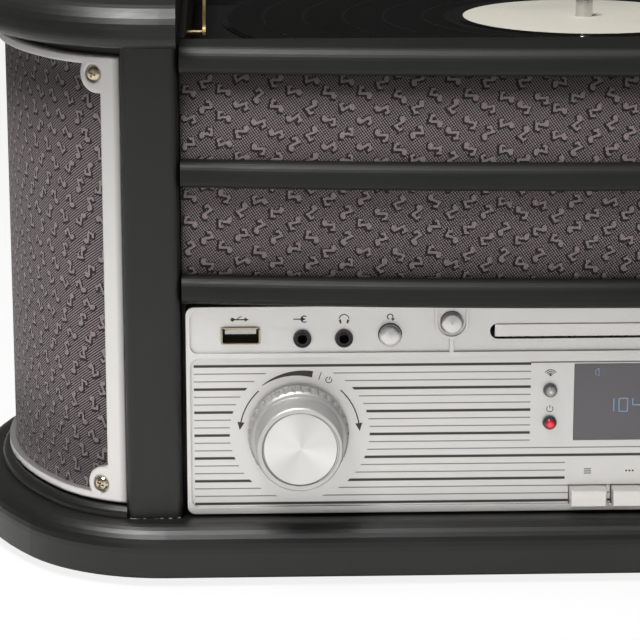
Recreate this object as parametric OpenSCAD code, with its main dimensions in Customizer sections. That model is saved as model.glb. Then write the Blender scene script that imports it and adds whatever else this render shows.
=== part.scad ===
// Tabletop stereo music centre: a wooden cabinet with rounded speaker pods, a record deck under a
// hinged lid, and a silver control panel with a disc slot.
// X runs to the right, Y runs back from the face of the control panel, Z runs up from the underside
// of the base board. The lid is drawn open.

/* [Cabinet] */
// Width of the bay between the two front posts
bay_w = 353; // [330:1:380]
// Width of each front post
post_w = 20.5; // [16:0.5:26]
// Height of the cabinet between base board and shoulders
wall_h = 173.5; // [168:0.5:190]
// Thickness of the base board
base_t = 18.5; // [15:0.5:22]
// How far the base board stands out past the pods
base_overhang = 14.5; // [10:0.5:18]
// Thickness of the shoulders on top of the pods
shoulder_t = 15.5; // [15:0.5:20]
// How far the shoulders stand out past the pods
shoulder_overhang = 13; // [8:0.5:16]
// How far the top of the closed lid stands above the shoulders
lid_rise = 12.5; // [11:0.5:16]
// Thickness of the wooden side walls
side_t = 15.5; // [13:0.5:18]
// Inside depth of the record well
well_d = 304; // [304:1:320]
// Thickness of the rear wall
rear_t = 15; // [12:0.5:18]
// Height of the rubber feet
foot_h = 3; // [2:0.5:6]

/* [Speaker pods] */
// Radius of the pod's corner, in plan
corner_r = 49; // [46:0.5:54]
// Radius of the pod's side, in plan
side_r = 121.5; // [112:0.5:135]
// Width of the pod frame's upright strip
strip_w = 7; // [5:0.5:10]
// Height of the pod frame's top and bottom bars
bar_h = 3.3; // [3:0.1:6]
// Thickness of the pod frame
frame_t = 2.5; // [2:0.1:3.2]
// Thickness of the grille cloth
cloth_t = 0.8; // [0.6:0.1:1.2]
// Thickness of the pod's wooden baffle
baffle_t = 9; // [7:0.5:11]
// Radius of the speaker's basket flange
speaker_r = 40; // [34:1:42]

/* [Front grille] */
// How far the grille bows out in the middle
bow = 12; // [8:0.5:16]
// Height of each grille rail
rail_h = 9.7; // [7:0.1:11]
// How far the rails stand out from the cloth
rail_d = 5.5; // [4:0.1:7]

/* [Control panel] */
// Height of the control panel
panel_h = 77.8; // [77:0.1:82]
// Thickness of the panel's moulded face
panel_t = 2.5; // [2.2:0.1:3]
// Depth of the two recessed fields in the panel
field_d = 1; // [0.4:0.1:1.2]
// Distance of each rotary knob from the middle
knob_x = 134.6; // [130:0.1:138]
// Radius of a rotary knob's skirt
knob_r = 18.3; // [16:0.1:20]
// How far a rotary knob stands out
knob_d = 20.5; // [17:0.5:22]
// Width of the disc slot
slot_w = 130.8; // [128:0.1:134]
// Height of the disc slot
slot_h = 5.8; // [5.4:0.1:6.4]
// Width of the display window
display_w = 69; // [60:0.5:74]
// Height of the display window
display_h = 28.9; // [24:0.1:31]
// Width of a push key
key_w = 13.2; // [11:0.1:13.8]
// Spacing of the push keys
key_pitch = 15.4; // [15:0.1:16]
// How far a push key stands out
key_d = 5; // [3.5:0.1:6]
// Travel of the keys and buttons
key_travel = 0.9; // [0.5:0.1:1]

/* [Record deck] */
// Radius of the record
record_r = 150; // [140:1:151]
// Distance of the spindle from the middle, to the left
spindle_x = 12; // [10:1:14]
// Radius of the spindle
spindle_r = 3.55; // [3.5:0.01:3.6]
// Radius of the platter
platter_r = 98; // [94:1:104]
// Height of the platter's top above the deck
platter_h = 11.5; // [11:0.5:12]
// Radius of the platter's drive drum
drum_r = 60; // [54:1:64]
// Radius of the motor pulley
pulley_r = 5; // [4:0.1:6]
// Effective length of the tonearm
arm_l = 190; // [180:1:194]
// Radius of the tonearm's tube
arm_r = 3.5; // [3:0.1:4]
// Angle to which the lid opens
lid_open = 60; // [50:1:64]

/* [Hidden] */
$fn = 96;
run = 0.05;          // radial clearance of a shaft in its bore
air = 0.3;           // gap between pieces that move past each other
seam = 0.3;          // gap between fixed pieces that are fitted by eye
side_fn = 360;       // facets of the large plan curves
turn = [0.8, 0.6];   // direction in which the pod's corner hands over to its side

wall_z = base_t;
top_z = base_t + wall_h;
shoulder_top = top_z + shoulder_t;
lid_top = shoulder_top + lid_rise;
post_in = bay_w / 2;
post_out = post_in + post_w;
post_y = -2;
face_y = -1;         // front plane of the pods
wall_in = post_in - 2;
wall_out = wall_in + side_t;
wall_y = 16;
well_y = wall_y + 1;
well_end = well_y + well_d;
rear_y = well_end + rear_t;

corner_x = post_in + 6.2;
corner_y = corner_r + face_y;
side_x = corner_x + (corner_r - side_r) * turn[0];
side_y = corner_y + (side_r - corner_r) * turn[1];
pod_w = side_x + side_r;
pod_back = 2 * side_y - face_y;
cloth_d = frame_t;
wood_d = cloth_d + cloth_t;
frame_z0 = wall_z + 4.7;
frame_z1 = top_z - 4.4;
ear_r = 6.9;
ear_a = asin((post_out + strip_w + 2.6 - corner_x) / corner_r);
ear_pad_a = ear_a - asin(1.6 / corner_r);
ear_dz = bar_h + 3.3;
speaker_a = 80;
speaker_z = wall_z + wall_h / 2;
speaker_hole = speaker_r - 6;
flange_d = side_r - wood_d - baffle_t - 9;

panel_w = bay_w - 3;
panel_z0 = wall_z + 0.9;
panel_z1 = panel_z0 + panel_h;
rim_w = 1.5;
row_z0 = panel_z1 - 17.3;
row_z1 = panel_z1 - 1.4;
stripe_z0 = panel_z0 + 2.6;
stripe_z1 = row_z0 - 1.9;
board_y = 12;
knob_z = panel_z0 + 30.4;
jack_z = panel_z1 - 12.1;
button_z = panel_z1 - 10.9;
tab_z = panel_z1 - 6.5;
tab_x = slot_w / 2 + 13.9;
slot_z = panel_z1 - 9.9;
usb_x = -155.3;
usb_z = panel_z1 - 10.8;
usb_w = 13.9;
usb_h = 6.2;
usb_wall = 0.4;
jack_x = [-133.1, -118.1];
jack_r = 1.8;
jack_nose_r = 3.2;
function_x = -101.5;
transport_x = [for (i = [0 : 3]) 17.5 * i - function_x];
button_r = 4;
tab_button_r = 3.9;
button_lip = 0.9;    // flange that keeps a button behind the panel
lens_x = -43.2;
lens_z = [panel_z0 + 45.6, panel_z0 + 33.4];
lens_r = 2.5;
display_z = panel_z0 + 26.5;
key_z0 = panel_z0 + 2.7;
key_z1 = key_z0 + 6.5;
key_front_h = 5.8;
key_count = 5;
key_mid = 1.9;
key_gap = 0.3;

bow_y = -15;
bow_in = post_in - seam;
bow_r = (pow(bay_w / 2, 2) + pow(bow, 2)) / (2 * bow);
top_rail_z = top_z - 0.5;
rail_z = [panel_z1 + 2 + rail_h / 2, (panel_z1 + top_rail_z) / 2 + 1.7];
grille_z0 = panel_z1 + 0.6;
grille_cloth_z0 = rail_z[0] - rail_h / 2 + 2;
grille_back = 14;

deck_t = 4;
deck_z = top_z - 30;
spindle_y = well_y + 1.5 + record_r;
platter_z = deck_z + platter_h;
mat_t = 2.5;
record_t = 1.5;
record_z = platter_z + mat_t;
record_top = record_z + record_t;
pulley_gap = 12;
pulley_x = -spindle_x - drum_r - pulley_r - pulley_gap;
pulley_z0 = deck_z + 2.8;
pulley_z1 = deck_z + 9;
motor_r = 15;
motor_h = 20;
shaft_r = 1;

arm_x = wall_in - 40.5;
arm_y = spindle_y + 93.5;
arm_rest_a = 5;      // angle of the parked arm, outward from straight ahead
arm_z = deck_z + 27;
pillar_r = 13;
pillar_z = deck_z + 17;
cue_x = wall_in - 21.5;
cue_y = arm_y - 27;
cue_z = deck_z + 12;
speed_x = wall_in - 19.5;
speed_y = arm_y - 72;
speed_travel = 10;

lid_t = 16;
lid_w = post_in - 0.5;
lid_y0 = face_y - shoulder_overhang;
lid_front_d = 25;
lid_z0 = lid_top - lid_t;
hinge_y = rear_y + 3.5;
hinge_z = lid_z0 - 0.25;
hinge_r = 3;
hinge_pin_r = 1.5;
hinge_x = 120;
hinge_l = 50;
stay_x = -(post_in - 8.5);
stay_t = 1.2;
stay_y = 90;
stay_z = top_z - 9.1;
stay_pin_r = 1;
stay_hw = 4;
stud_r = 1.8;
stud_back = 90;      // stud's distance from the hinge, along the lid
stud_drop = 12;      // and below it, with the lid closed
stud_open = [hinge_y - stud_back * cos(lid_open) - stud_drop * sin(lid_open),
             hinge_z + stud_back * sin(lid_open) - stud_drop * cos(lid_open)];
stay_reach = norm(stud_open - [stay_y, stay_z]);
stay_shut = norm([hinge_y - stud_back - stay_y, hinge_z - stud_drop - stay_z]);
stay_a = atan2(stud_open[1] - stay_z, stud_open[0] - stay_y);

wood = [0.17, 0.17, 0.165];
silver = [0.8, 0.8, 0.79];
cloth = [0.4, 0.37, 0.38];
black = [0.07, 0.07, 0.07];
steel = [0.75, 0.75, 0.76];
brassy = [0.75, 0.6, 0.3];

// Points on an arc in the drawing plane, from angle a0 to a1.
function arc(cx, cy, r, a0, a1, n = 8) =
    [for (i = [0 : n]) let (a = a0 + (a1 - a0) * i / n) [cx + r * cos(a), cy + r * sin(a)]];

// A rectangle from (x0, y0) to (x1, y1) with corners of radius r.
function rounded(x0, y0, x1, y1, r, n = 5) = concat(
    arc(x1 - r, y0 + r, r, -90, 0, n), arc(x1 - r, y1 - r, r, 0, 90, n),
    arc(x0 + r, y1 - r, r, 90, 180, n), arc(x0 + r, y0 + r, r, 180, 270, n));

module both_sides() {
    children();
    mirror([1, 0, 0]) children();
}

// Stands a plan drawn in X and Z on the front, and extrudes it back from y0 to y1.
module to_back(y0, y1) translate([0, y1, 0]) rotate([90, 0, 0]) linear_extrude(y1 - y0) children();

// A cylinder along Y, from y0 back to y1.
module rod_y(x, z, r, y0, y1) translate([x, y1, z]) rotate([90, 0, 0]) cylinder(r = r, h = y1 - y0);

// A cylinder along X, from x0 to x1.
module rod_x(y, z, r, x0, x1) translate([x0, y, z]) rotate([0, 90, 0]) cylinder(r = r, h = x1 - x0);

// Carries a section round one arc of the pod's plan, of radius r about c, between two directions.
module arc_run(c, r, from, to) translate([c[0], c[1], 0]) intersection() {
    rotate_extrude($fn = side_fn) translate([r, 0]) children();
    translate([0, 0, -10]) linear_extrude(400) polygon([[0, 0], 200 * from, 200 * to]);
}

// Carries a section round the right-hand pod: x of the section is the distance outside the pod's
// face, y is the height.
module pod_run() {
    arc_run([corner_x, corner_y], corner_r, [0, -1], [turn[0], -turn[1]]) children();
    arc_run([side_x, side_y], side_r, [turn[0], -turn[1]], turn) children();
    arc_run([corner_x, 2 * side_y - corner_y], corner_r, turn, [0, 1]) children();
}

// Straight stretches in front of and behind the pod's arcs, from x0 out to the arcs.
module straight_run(x0) {
    translate([corner_x, face_y, 0]) rotate([90, 0, -90]) linear_extrude(corner_x - x0) children();
    translate([x0, 2 * side_y - face_y, 0]) rotate([90, 0, 90])
        linear_extrude(corner_x - x0) children();
}

// What lies outside the posts, for trimming the pod's pieces.
module outside_posts() translate([post_out + 0.1, -60, 0]) cube([200, 420, 300]);

// Solid core that fills a board inside the ring that pod_run leaves.
module core(x0, z0, z1, d) {
    y_in = corner_y - (corner_r - d) - 4;
    translate([x0, y_in, z0]) cube([side_x + side_r - d + 2 - x0, 2 * (side_y - y_in), z1 - z0]);
}

// Base board: flat underside, a short upright edge, then a wide rounded shoulder.
base_core = 40;
base_r = 9;
base_section = concat([[-base_core, 0], [base_overhang - 1, 0], [base_overhang, 1]],
    arc(base_overhang - base_r, base_t - base_r, base_r, 0, 90), [[-base_core, base_t]]);

foot_r = 10;
foot_sink = 1.5;
foot_spots = [[corner_x, 22], [wall_out - 14, rear_y - 14]];

module base_board() color(wood) difference() {
    half = wall_out + 12;
    union() {
        both_sides() pod_run() polygon(base_section);
        straight_run(-corner_x) polygon(base_section);
        core(base_core - 2 - side_x - side_r, 0, base_t, base_core);
        translate([0, rear_y + 12, 0]) rotate([90, 0, 0]) linear_extrude(rear_y + 37 - pod_back)
            polygon(concat([[-half, 0], [half, 0]],
                arc(half - base_r, base_t - base_r, base_r, 0, 90),
                arc(base_r - half, base_t - base_r, base_r, 90, 180)));
    }
    both_sides() for (p = foot_spots)
        translate([p[0], p[1], -1]) cylinder(r = foot_r + 0.2, h = foot_sink + 1);
}

// Rubber feet, each sunk in a shallow recess in the underside.
module rubber_feet() color(black) for (p = foot_spots) both_sides()
    translate([p[0], p[1], -foot_h]) rotate_extrude() polygon([[0, 0], [foot_r - 1, 0], [foot_r, 1],
        [foot_r, foot_h + foot_sink], [0, foot_h + foot_sink]]);

// Box of the cabinet: two side walls, a rear wall with a window, and cleats for the deck.
window = [158, 40, 144];
cleat = 8;

module carcass() color(wood) {
    difference() {
        union() {
            translate([-wall_out, wall_y, wall_z])
                cube([2 * wall_out, rear_y - wall_y, top_z - wall_z]);
            translate([-lid_w, well_end + 3, top_z - 1])
                cube([2 * lid_w, rear_t - 3, lid_z0 - 0.6 - top_z + 1]);
        }
        translate([-wall_in, wall_y - 1, wall_z - 1])
            cube([2 * wall_in, well_end - wall_y + 1, top_z - wall_z + 2]);
        translate([-window[0], well_end - 1, window[1]])
            cube([2 * window[0], rear_t + 2, window[2] - window[1]]);
    }
    both_sides() translate([wall_in - cleat, wall_y, deck_z - deck_t - cleat])
        cube([cleat + 0.5, well_end - wall_y + 0.5, cleat]);
}

module posts() color(wood) both_sides() {
    r = 3;
    translate([0, 0, wall_z]) linear_extrude(wall_h)
        polygon(concat([[post_in, wall_y]], arc(post_in + r, post_y + r, r, 180, 270, 5),
            arc(post_out - r, post_y + r, r, 270, 360, 5), [[post_out, wall_y]]));
    translate([wall_out, 2 * side_y - 18, wall_z]) cube([post_out - wall_out, 20, wall_h]);
}

// Shoulders: rounded boards on the pods, their inner ends closing the record well.
shoulder_r = 11;
shoulder_under_r = 3.5;
shoulder_core = 40;

function bullnose(back, over, z0, z1) = concat([[-back, z0]],
    arc(over - shoulder_under_r, z0 + shoulder_under_r, shoulder_under_r, -90, 0, 5),
    arc(over - shoulder_r, z1 - shoulder_r, shoulder_r, 0, 90, 8), [[-back, z1]]);

module shoulders() color(wood) both_sides() {
    half = wall_out + 12;
    union() {
        pod_run() polygon(bullnose(shoulder_core, shoulder_overhang, top_z, shoulder_top));
        straight_run(post_in + 0.5)
            polygon(bullnose(shoulder_core, shoulder_overhang, top_z, shoulder_top));
        core(post_in + 0.5, top_z, shoulder_top, shoulder_core);
        translate([0, rear_y + 2, 0]) rotate([90, 0, 0]) linear_extrude(rear_y + 27 - pod_back)
            polygon(concat([[post_in + 0.5, top_z]],
                arc(half - shoulder_under_r, top_z + shoulder_under_r, shoulder_under_r, -90, 0, 5),
                arc(half - shoulder_r, shoulder_top - shoulder_r, shoulder_r, 0, 90, 8),
                [[post_in + 0.5, shoulder_top]]));
    }
}

// Places a piece on the axis of the right-hand speaker, which points out along +Z.
module on_speaker() translate([side_x, side_y, speaker_z]) rotate([0, 0, speaker_a - 90])
    rotate([0, 90, 0]) children();

// Wooden baffles of the pods, with a bead at the foot and a ring that carries the speaker.
module pod_baffles() color(wood) both_sides() difference() {
    union() {
        intersection() {
            pod_run() union() {
                translate([-wood_d - baffle_t, wall_z]) square([baffle_t, wall_h]);
                translate([-wood_d - 1, wall_z])
                    polygon(concat([[0, 0], [wood_d + 4, 0]], arc(wood_d + 0.5, 0.5, 3.5, 0, 90, 5),
                        [[0, 4]]));
            }
            outside_posts();
        }
        intersection() {
            on_speaker() translate([0, 0, flange_d]) cylinder(r = speaker_r + 3, h = 20);
            translate([side_x, side_y, 0])
                cylinder(r = side_r - wood_d - 1, h = 300, $fn = side_fn);
        }
    }
    on_speaker() translate([0, 0, flange_d - 1]) cylinder(r = speaker_hole, h = 60);
    frame_holes();
}

module pod_cloth() color(cloth) both_sides() intersection() {
    pod_run() translate([-wood_d, frame_z0]) square([cloth_t, frame_z1 - frame_z0]);
    difference() {
        outside_posts();
        frame_holes();
    }
}

// Silver frames: upright strips, top and bottom bars, and a rounded ear at each corner.
module pod_frames() color(silver) both_sides() difference() {
    intersection() {
        pod_run() polygon([[-frame_t, frame_z0], [-frame_edge, frame_z0], [0, frame_z0 + frame_edge],
            [0, frame_z1 - frame_edge], [-frame_edge, frame_z1], [-frame_t, frame_z1]]);
        outside_posts();
    }
    difference() {
        translate([post_out + strip_w, -60, frame_z0 + bar_h])
            cube([200, 420, frame_z1 - frame_z0 - 2 * bar_h]);
        at_ears(ear_pad_a) cylinder(r = ear_r, h = 80);
    }
    frame_holes();
    at_ears() translate([0, 0, corner_r - screw_sink]) cylinder(r = screw_r + 0.5, h = 10);
}

frame_edge = 0.6;
screw_r = 2.7;
screw_sink = 1.2;
screw_l = 9;

module frame_holes() at_ears() translate([0, 0, 30]) cylinder(r = 1.6, h = 30);

// Places a piece at the four ears of the right-hand frame, outward along +Z from the corner's centre.
module at_ears(a = ear_a) for (z = [frame_z0 + ear_dz, frame_z1 - ear_dz], back = [0, 1])
    translate([corner_x, back ? 2 * side_y - corner_y : corner_y, z])
        rotate([0, 0, back ? 90 - a : a - 90]) rotate([0, 90, 0]) children();

// Cross-head screws, their heads sunk in the ears.
module frame_screws() color(brassy) both_sides() at_ears() difference() {
    translate([0, 0, corner_r - screw_l]) rotate_extrude() polygon([[0, 0], [1.5, 0],
        [1.5, screw_l - screw_sink], [screw_r, screw_l - screw_sink], [screw_r, screw_l - 0.3],
        [screw_r - 0.6, screw_l + 0.3], [screw_r - 1.6, screw_l + 0.6], [0, screw_l + 0.65]]);
    for (a = [20, 110]) rotate([0, 0, a]) translate([-1.5, -0.35, corner_r - 0.3]) cube([3, 0.7, 2]);
}

// Loudspeakers: a pressed basket with its magnet, and a paper cone with a dust cap.
cone_z = 6;

module speakers() both_sides() on_speaker() translate([0, 0, flange_d]) {
    color(steel) rotate_extrude() polygon([[9, -29], [24, -29], [24, -20], [12, -20],
        [18, -17], [speaker_hole - 2, -7], [speaker_hole - 1, -3], [speaker_r, -3], [speaker_r, 0],
        [speaker_hole - 2.5, 0], [speaker_hole - 4, -6], [16, -15.5], [9, -19]]);
    color(black) rotate_extrude() polygon([[0, -14], [8, -15.5], [speaker_hole - 5, -5],
        [speaker_hole - 3, 0.3], [speaker_hole - 0.4, 0.3], [speaker_hole - 1.5, 2.5],
        [speaker_hole - 4, 1], [speaker_hole - 7, -4.5], [12, -12], [8, -9.5], [0, -8]]);
}

// Region behind a bowed front of radius bow_r - back, out to the posts and back to y1.
module bowed_plan(back, y1) intersection() {
    translate([0, bow_y + bow_r]) circle(r = bow_r - back, $fn = 1440);
    translate([-bow_in, bow_y - 5]) square([2 * bow_in, y1 - bow_y + 5]);
}

// Carries a section round the bowed front: x of the section is the distance in front of the rails.
module bow_run() {
    a = asin((bay_w / 2 + 3) / bow_r);
    intersection() {
        translate([0, bow_y + bow_r, 0]) rotate([0, 0, -90 - a])
            rotate_extrude(angle = 2 * a, $fn = 1440) translate([bow_r, 0]) children();
        translate([-bow_in, bow_y - 5, 0]) cube([2 * bow_in, 60, 300]);
    }
}

module grille_baffle() color(wood) translate([0, 0, grille_z0])
    linear_extrude(top_rail_z - rail_h - grille_z0) bowed_plan(rail_d + cloth_t, grille_back);

module grille_cloth() color(cloth) bow_run()
    translate([-rail_d - cloth_t, grille_cloth_z0])
        square([cloth_t, top_rail_z - rail_h - grille_cloth_z0]);

// Bowed rails: two half-round strips over the cloth, and a wide one that caps the front wall.
rail_top_r = min(5, rail_d - 0.5, rail_h - 3);
rail_low_r = 2.5;

function rail_section(z) = concat([[-rail_d, z - rail_h / 2]],
    arc(-rail_low_r, z - rail_h / 2 + rail_low_r, rail_low_r, -90, 0, 6),
    arc(-rail_top_r, z + rail_h / 2 - rail_top_r, rail_top_r, 0, 90, 8), [[-rail_d, z + rail_h / 2]]);

module grille_rails() color(wood) {
    for (z = rail_z) bow_run() polygon(rail_section(z));
    union() {
        bow_run() polygon(rail_section(top_rail_z - rail_h / 2));
        translate([0, 0, top_rail_z - rail_h]) linear_extrude(rail_h)
            bowed_plan(rail_d - 0.5, wall_y - seam);
    }
}

// Moulded control panel: a rim round two sunk fields, ribbed tabs round the two upper buttons, and
// a return flange, bosses and hinge ears behind.
module fascia() color(silver) {
    half = panel_w / 2;
    difference() {
        to_back(0, board_y) polygon(rounded(-half, panel_z0, half, panel_z1, 3));
        to_back(panel_t, board_y + 1)
            polygon(rounded(-half + 2, panel_z0 + 2, half - 2, panel_z1 - 2, 2));
        difference() {
            to_back(-1, field_d) polygon(rounded(-half + rim_w, row_z0, half - rim_w, row_z1, 3));
            for (s = [-1, 1]) {
                to_back(-2, 3) translate([s * tab_x, tab_z]) difference() {
                    union() {
                        circle(r = 6.1);
                        translate([-6.1, 0]) square([12.2, 8]);
                        translate([-0.8, -20]) square([1.6, 20]);
                    }
                    circle(r = 5.1);
                    translate([-5.1, 0]) square([10.2, 8]);
                }
            }
        }
        to_back(-1, field_d)
            polygon(rounded(-half + rim_w, stripe_z0, half - rim_w, stripe_z1, 3));
        to_back(-1, board_y) polygon(rounded(-slot_w / 2, slot_z - slot_h / 2, slot_w / 2,
            slot_z + slot_h / 2, slot_h / 2 - 0.1));
        to_back(-1, board_y) translate([-display_w / 2, display_z]) square([display_w, display_h]);
        for (i = [0 : key_count - 1]) to_back(-1, panel_t + 1)
            translate([key_x(i) - key_w / 2 - key_gap, key_z0 - key_gap])
                square([key_w + 2 * key_gap, key_z1 - key_z0 + 2 * key_gap]);
        for (s = [-1, 1]) {
            rod_y(s * knob_x, knob_z, 5, -1, board_y);
            rod_y(s * tab_x, tab_z, tab_button_r + air, -1, board_y);
            rod_y(s * tab_x, tab_z, tab_button_r + button_lip + air, panel_t, board_y);
        }
        for (x = concat([function_x], transport_x))
            rod_y(x, button_z, button_r + air, -1, board_y);
        for (z = lens_z) rod_y(lens_x, z, lens_r + run, -1, board_y);
        for (x = jack_x) rod_y(x, jack_z, jack_nose_r + run, -1, board_y);
        to_back(-1, board_y) translate([usb_x - usb_w / 2 - 0.1, usb_z - usb_h / 2 - 0.1])
            square([usb_w + 0.2, usb_h + 0.2]);
    }
    both_sides() {
        for (z = [panel_z0 + 4.5, panel_z1 - 4.5])
            rod_y(half - 4.5, z, 3, panel_t - 0.5, board_y);
        difference() {
            translate([slot_w / 2 + 1, panel_t - 0.5, flap_z - 2.2]) cube([3, 6.1, 4.2]);
            rod_x(flap_y, flap_z, flap_pin_r + run, slot_w / 2, slot_w / 2 + 5);
        }
    }
}

function key_x(i) = key_mid + (i - (key_count - 1) / 2) * key_pitch;

module display_window() color([0.35, 0.33, 0.36])
    to_back(field_d - 0.1, panel_t - 0.3)
        translate([-display_w / 2 + 0.1, display_z + 0.1]) square([display_w - 0.2, display_h - 0.2]);

module indicator_lenses() for (i = [0, 1])
    color(i ? "red" : [0.5, 0.5, 0.5]) translate([lens_x, 0, lens_z[i]]) rotate([90, 0, 0]) union() {
        translate([0, 0, -9]) cylinder(r = lens_r, h = 9);
        intersection() {
            sphere(r = lens_r);
            translate([0, 0, -0.5]) cylinder(r = lens_r - 0.3, h = 4);
        }
        translate([0, 0, -board_y]) cylinder(r = 1.2, h = board_y);
    }

// Socket for a memory stick: a folded steel shell, its corners slit at the mouth, with a contact
// tongue in its upper half.
module usb_socket() translate([usb_x, 0, usb_z]) {
    color(steel) difference() {
        to_back(-0.3, board_y) square([usb_w, usb_h], center = true);
        to_back(-1, board_y - 1) square([usb_w - 2 * usb_wall, usb_h - 2 * usb_wall], center = true);
        for (x = [-1, 1], z = [-1, 1]) to_back(-1, 0.8)
            translate([x * (usb_w / 2 - 0.2), z * (usb_h / 2 - 0.2)]) square(1.2, center = true);
    }
    color("white") translate([-5.6, 1.6, 0.4]) cube([11.2, board_y - 2, 1.7]);
}

// Two 3.5 mm sockets, each a black nose on a square body, with a groove round the hole.
module audio_jacks() color(black) for (x = jack_x) difference() {
    union() {
        rod_y(x, jack_z, jack_nose_r, -0.3, panel_t + 1);
        translate([x - 4.5, panel_t + 0.2, jack_z - 4.5]) cube([9, board_y - panel_t - 0.2, 9]);
    }
    rod_y(x, jack_z, jack_r, -1, board_y - 1);
    difference() {
        rod_y(x, jack_z, jack_nose_r - 0.5, -1, 0.3);
        rod_y(x, jack_z, jack_r + 0.4, -2, 1);
    }
}

// Circuit board behind the panel, with the display module, the encoders and the key switches.
module control_board() {
    half = panel_w / 2 - 2.2;
    notch = disc_w / 2 + 2;
    color([0.1, 0.35, 0.2]) to_back(board_y, board_y + 1.6) difference() {
        translate([-half, panel_z0 + 2.2]) square([2 * half, panel_h - 4.4]);
        translate([-notch, disc_z0 - 2]) square([2 * notch, panel_h]);
    }
    color(black) {
        translate([-display_w / 2 - 2, panel_t + 0.2, display_z - 2])
            cube([display_w + 4, board_y - panel_t - 0.2, min(display_h, disc_z0 - display_z) + 1.5]);
        for (i = [0 : key_count - 1]) key_switch(key_x(i), (key_z0 + key_z1) / 2);
        for (x = concat([function_x], transport_x)) key_switch(x, button_z);
        for (s = [-1, 1]) key_switch(s * tab_x, tab_z);
    }
    color(steel) for (s = [-1, 1]) difference() {
        union() {
            translate([s * knob_x - 6.5, 5.5, knob_z - 6.5]) cube([13, board_y - 5.5, 13]);
            rod_y(s * knob_x, knob_z, 4.5, field_d, 6);
        }
        rod_y(s * knob_x, knob_z, knob_shaft_r + run, 0, board_y - 0.5);
    }
}

switch_y = 9;

module key_switch(x, z) translate([x - 3, switch_y, z - 3]) cube([6, board_y - switch_y, 6]);

// Slot-loading disc drive: a box with a feed cavity in line with the slot.
disc_w = 146;
disc_y = 13;
disc_l = 150;
disc_z0 = slot_z - 14;
disc_z1 = slot_z + 9;

module disc_mechanism() color(steel) difference() {
    union() {
        translate([-disc_w / 2, disc_y, disc_z0]) cube([disc_w, disc_l, disc_z1 - disc_z0]);
        both_sides() for (y = [disc_y + 20, disc_y + disc_l - 20])
            translate([disc_w / 2 - 12, y, wall_z]) cylinder(r = 4, h = disc_z0 - wall_z + 1);
    }
    translate([-slot_w / 2 + 1, disc_y - 1, slot_z - 2.9]) cube([slot_w - 2, 130, 5.8]);
}

// Amplifier board on four standoffs, with its heat sink and two large capacitors.
main_at = [24.5 - wall_in, well_end - 121];
main_size = [190, 100];
main_t = 1.6;
main_lift = 6;

module main_board() translate([main_at[0], main_at[1], wall_z]) {
    color([0.1, 0.35, 0.2]) translate([0, 0, main_lift]) cube([main_size[0], main_size[1], main_t]);
    color(steel) for (x = [5, main_size[0] - 5], y = [5, main_size[1] - 5])
        translate([x, y, 0]) cylinder(r = 3, h = main_lift);
    color(black) translate([0, 0, main_lift + main_t]) {
        translate([30, 15, 0]) cube([60, 12, 30]);
        for (x = [120, 145]) translate([x, 70, 0]) cylinder(r = 8, h = 28);
    }
}

// Mains transformer: a laminated core with two windows, and the winding on its middle limb.
mains_at = [wall_in - 89.5, well_end - 96];
core_size = [66, 56, 50];
core_limb = [12, 18];
core_yoke = 9;
coil_gap = 0.3;

module mains_transformer() translate([mains_at[0], mains_at[1], wall_z]) {
    core_hole = (core_size[0] - core_limb[1]) / 2 - core_limb[0];
    coil_x = [core_limb[0] + coil_gap, core_size[0] - core_limb[0] - coil_gap];
    limb_x = (core_size[0] - core_limb[1]) / 2;
    color(steel) difference() {
        cube(core_size);
        for (x = [core_limb[0], core_size[0] - core_limb[0] - core_hole]) translate([x, -1, core_yoke])
            cube([core_hole, core_size[1] + 2, core_size[2] - 2 * core_yoke]);
    }
    color(brassy) difference() {
        translate([coil_x[0], -7, core_yoke + 0.5])
            cube([coil_x[1] - coil_x[0], core_size[1] + 14, core_size[2] - 2 * core_yoke - 1]);
        translate([limb_x - coil_gap, -coil_gap, 0])
            cube([core_limb[1] + 2 * coil_gap, core_size[1] + 2 * coil_gap, core_size[2]]);
    }
}

// Rear cover over the window, with vents and cut-outs for the sockets.
cover_half = window[0] + 7;
cover_z = [window[1] - 7, window[2] + 7];
cover_t = 2.5;
inlet = [120, 62];
phono_x = [-120, -102];
phono_z = 62;

module back_panel() color(black) difference() {
    to_back(rear_y, rear_y + cover_t)
        polygon(rounded(-cover_half, cover_z[0], cover_half, cover_z[1], 4));
    for (i = [0 : 11], z = [112, 128]) to_back(rear_y - 1, rear_y + cover_t + 1)
        translate([(i - 5.5) * 12 - 2, z - 5]) square([4, 10]);
    to_back(rear_y - 1, rear_y + cover_t + 1)
        translate([inlet[0] - 11.1, inlet[1] - 7.1]) square([22.2, 14.2]);
    for (x = phono_x) rod_y(x, phono_z, 5.1, rear_y - 1, rear_y + cover_t + 1);
    cover_holes(1.6, rear_y - 1, rear_y + cover_t + 1);
}

module cover_holes(r, y0, y1) for (x = [-1, 1], z = [cover_z[0] + 3.5, cover_z[1] - 3.5])
    rod_y(x * (cover_half - 3.5), z, r, y0, y1);

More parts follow.
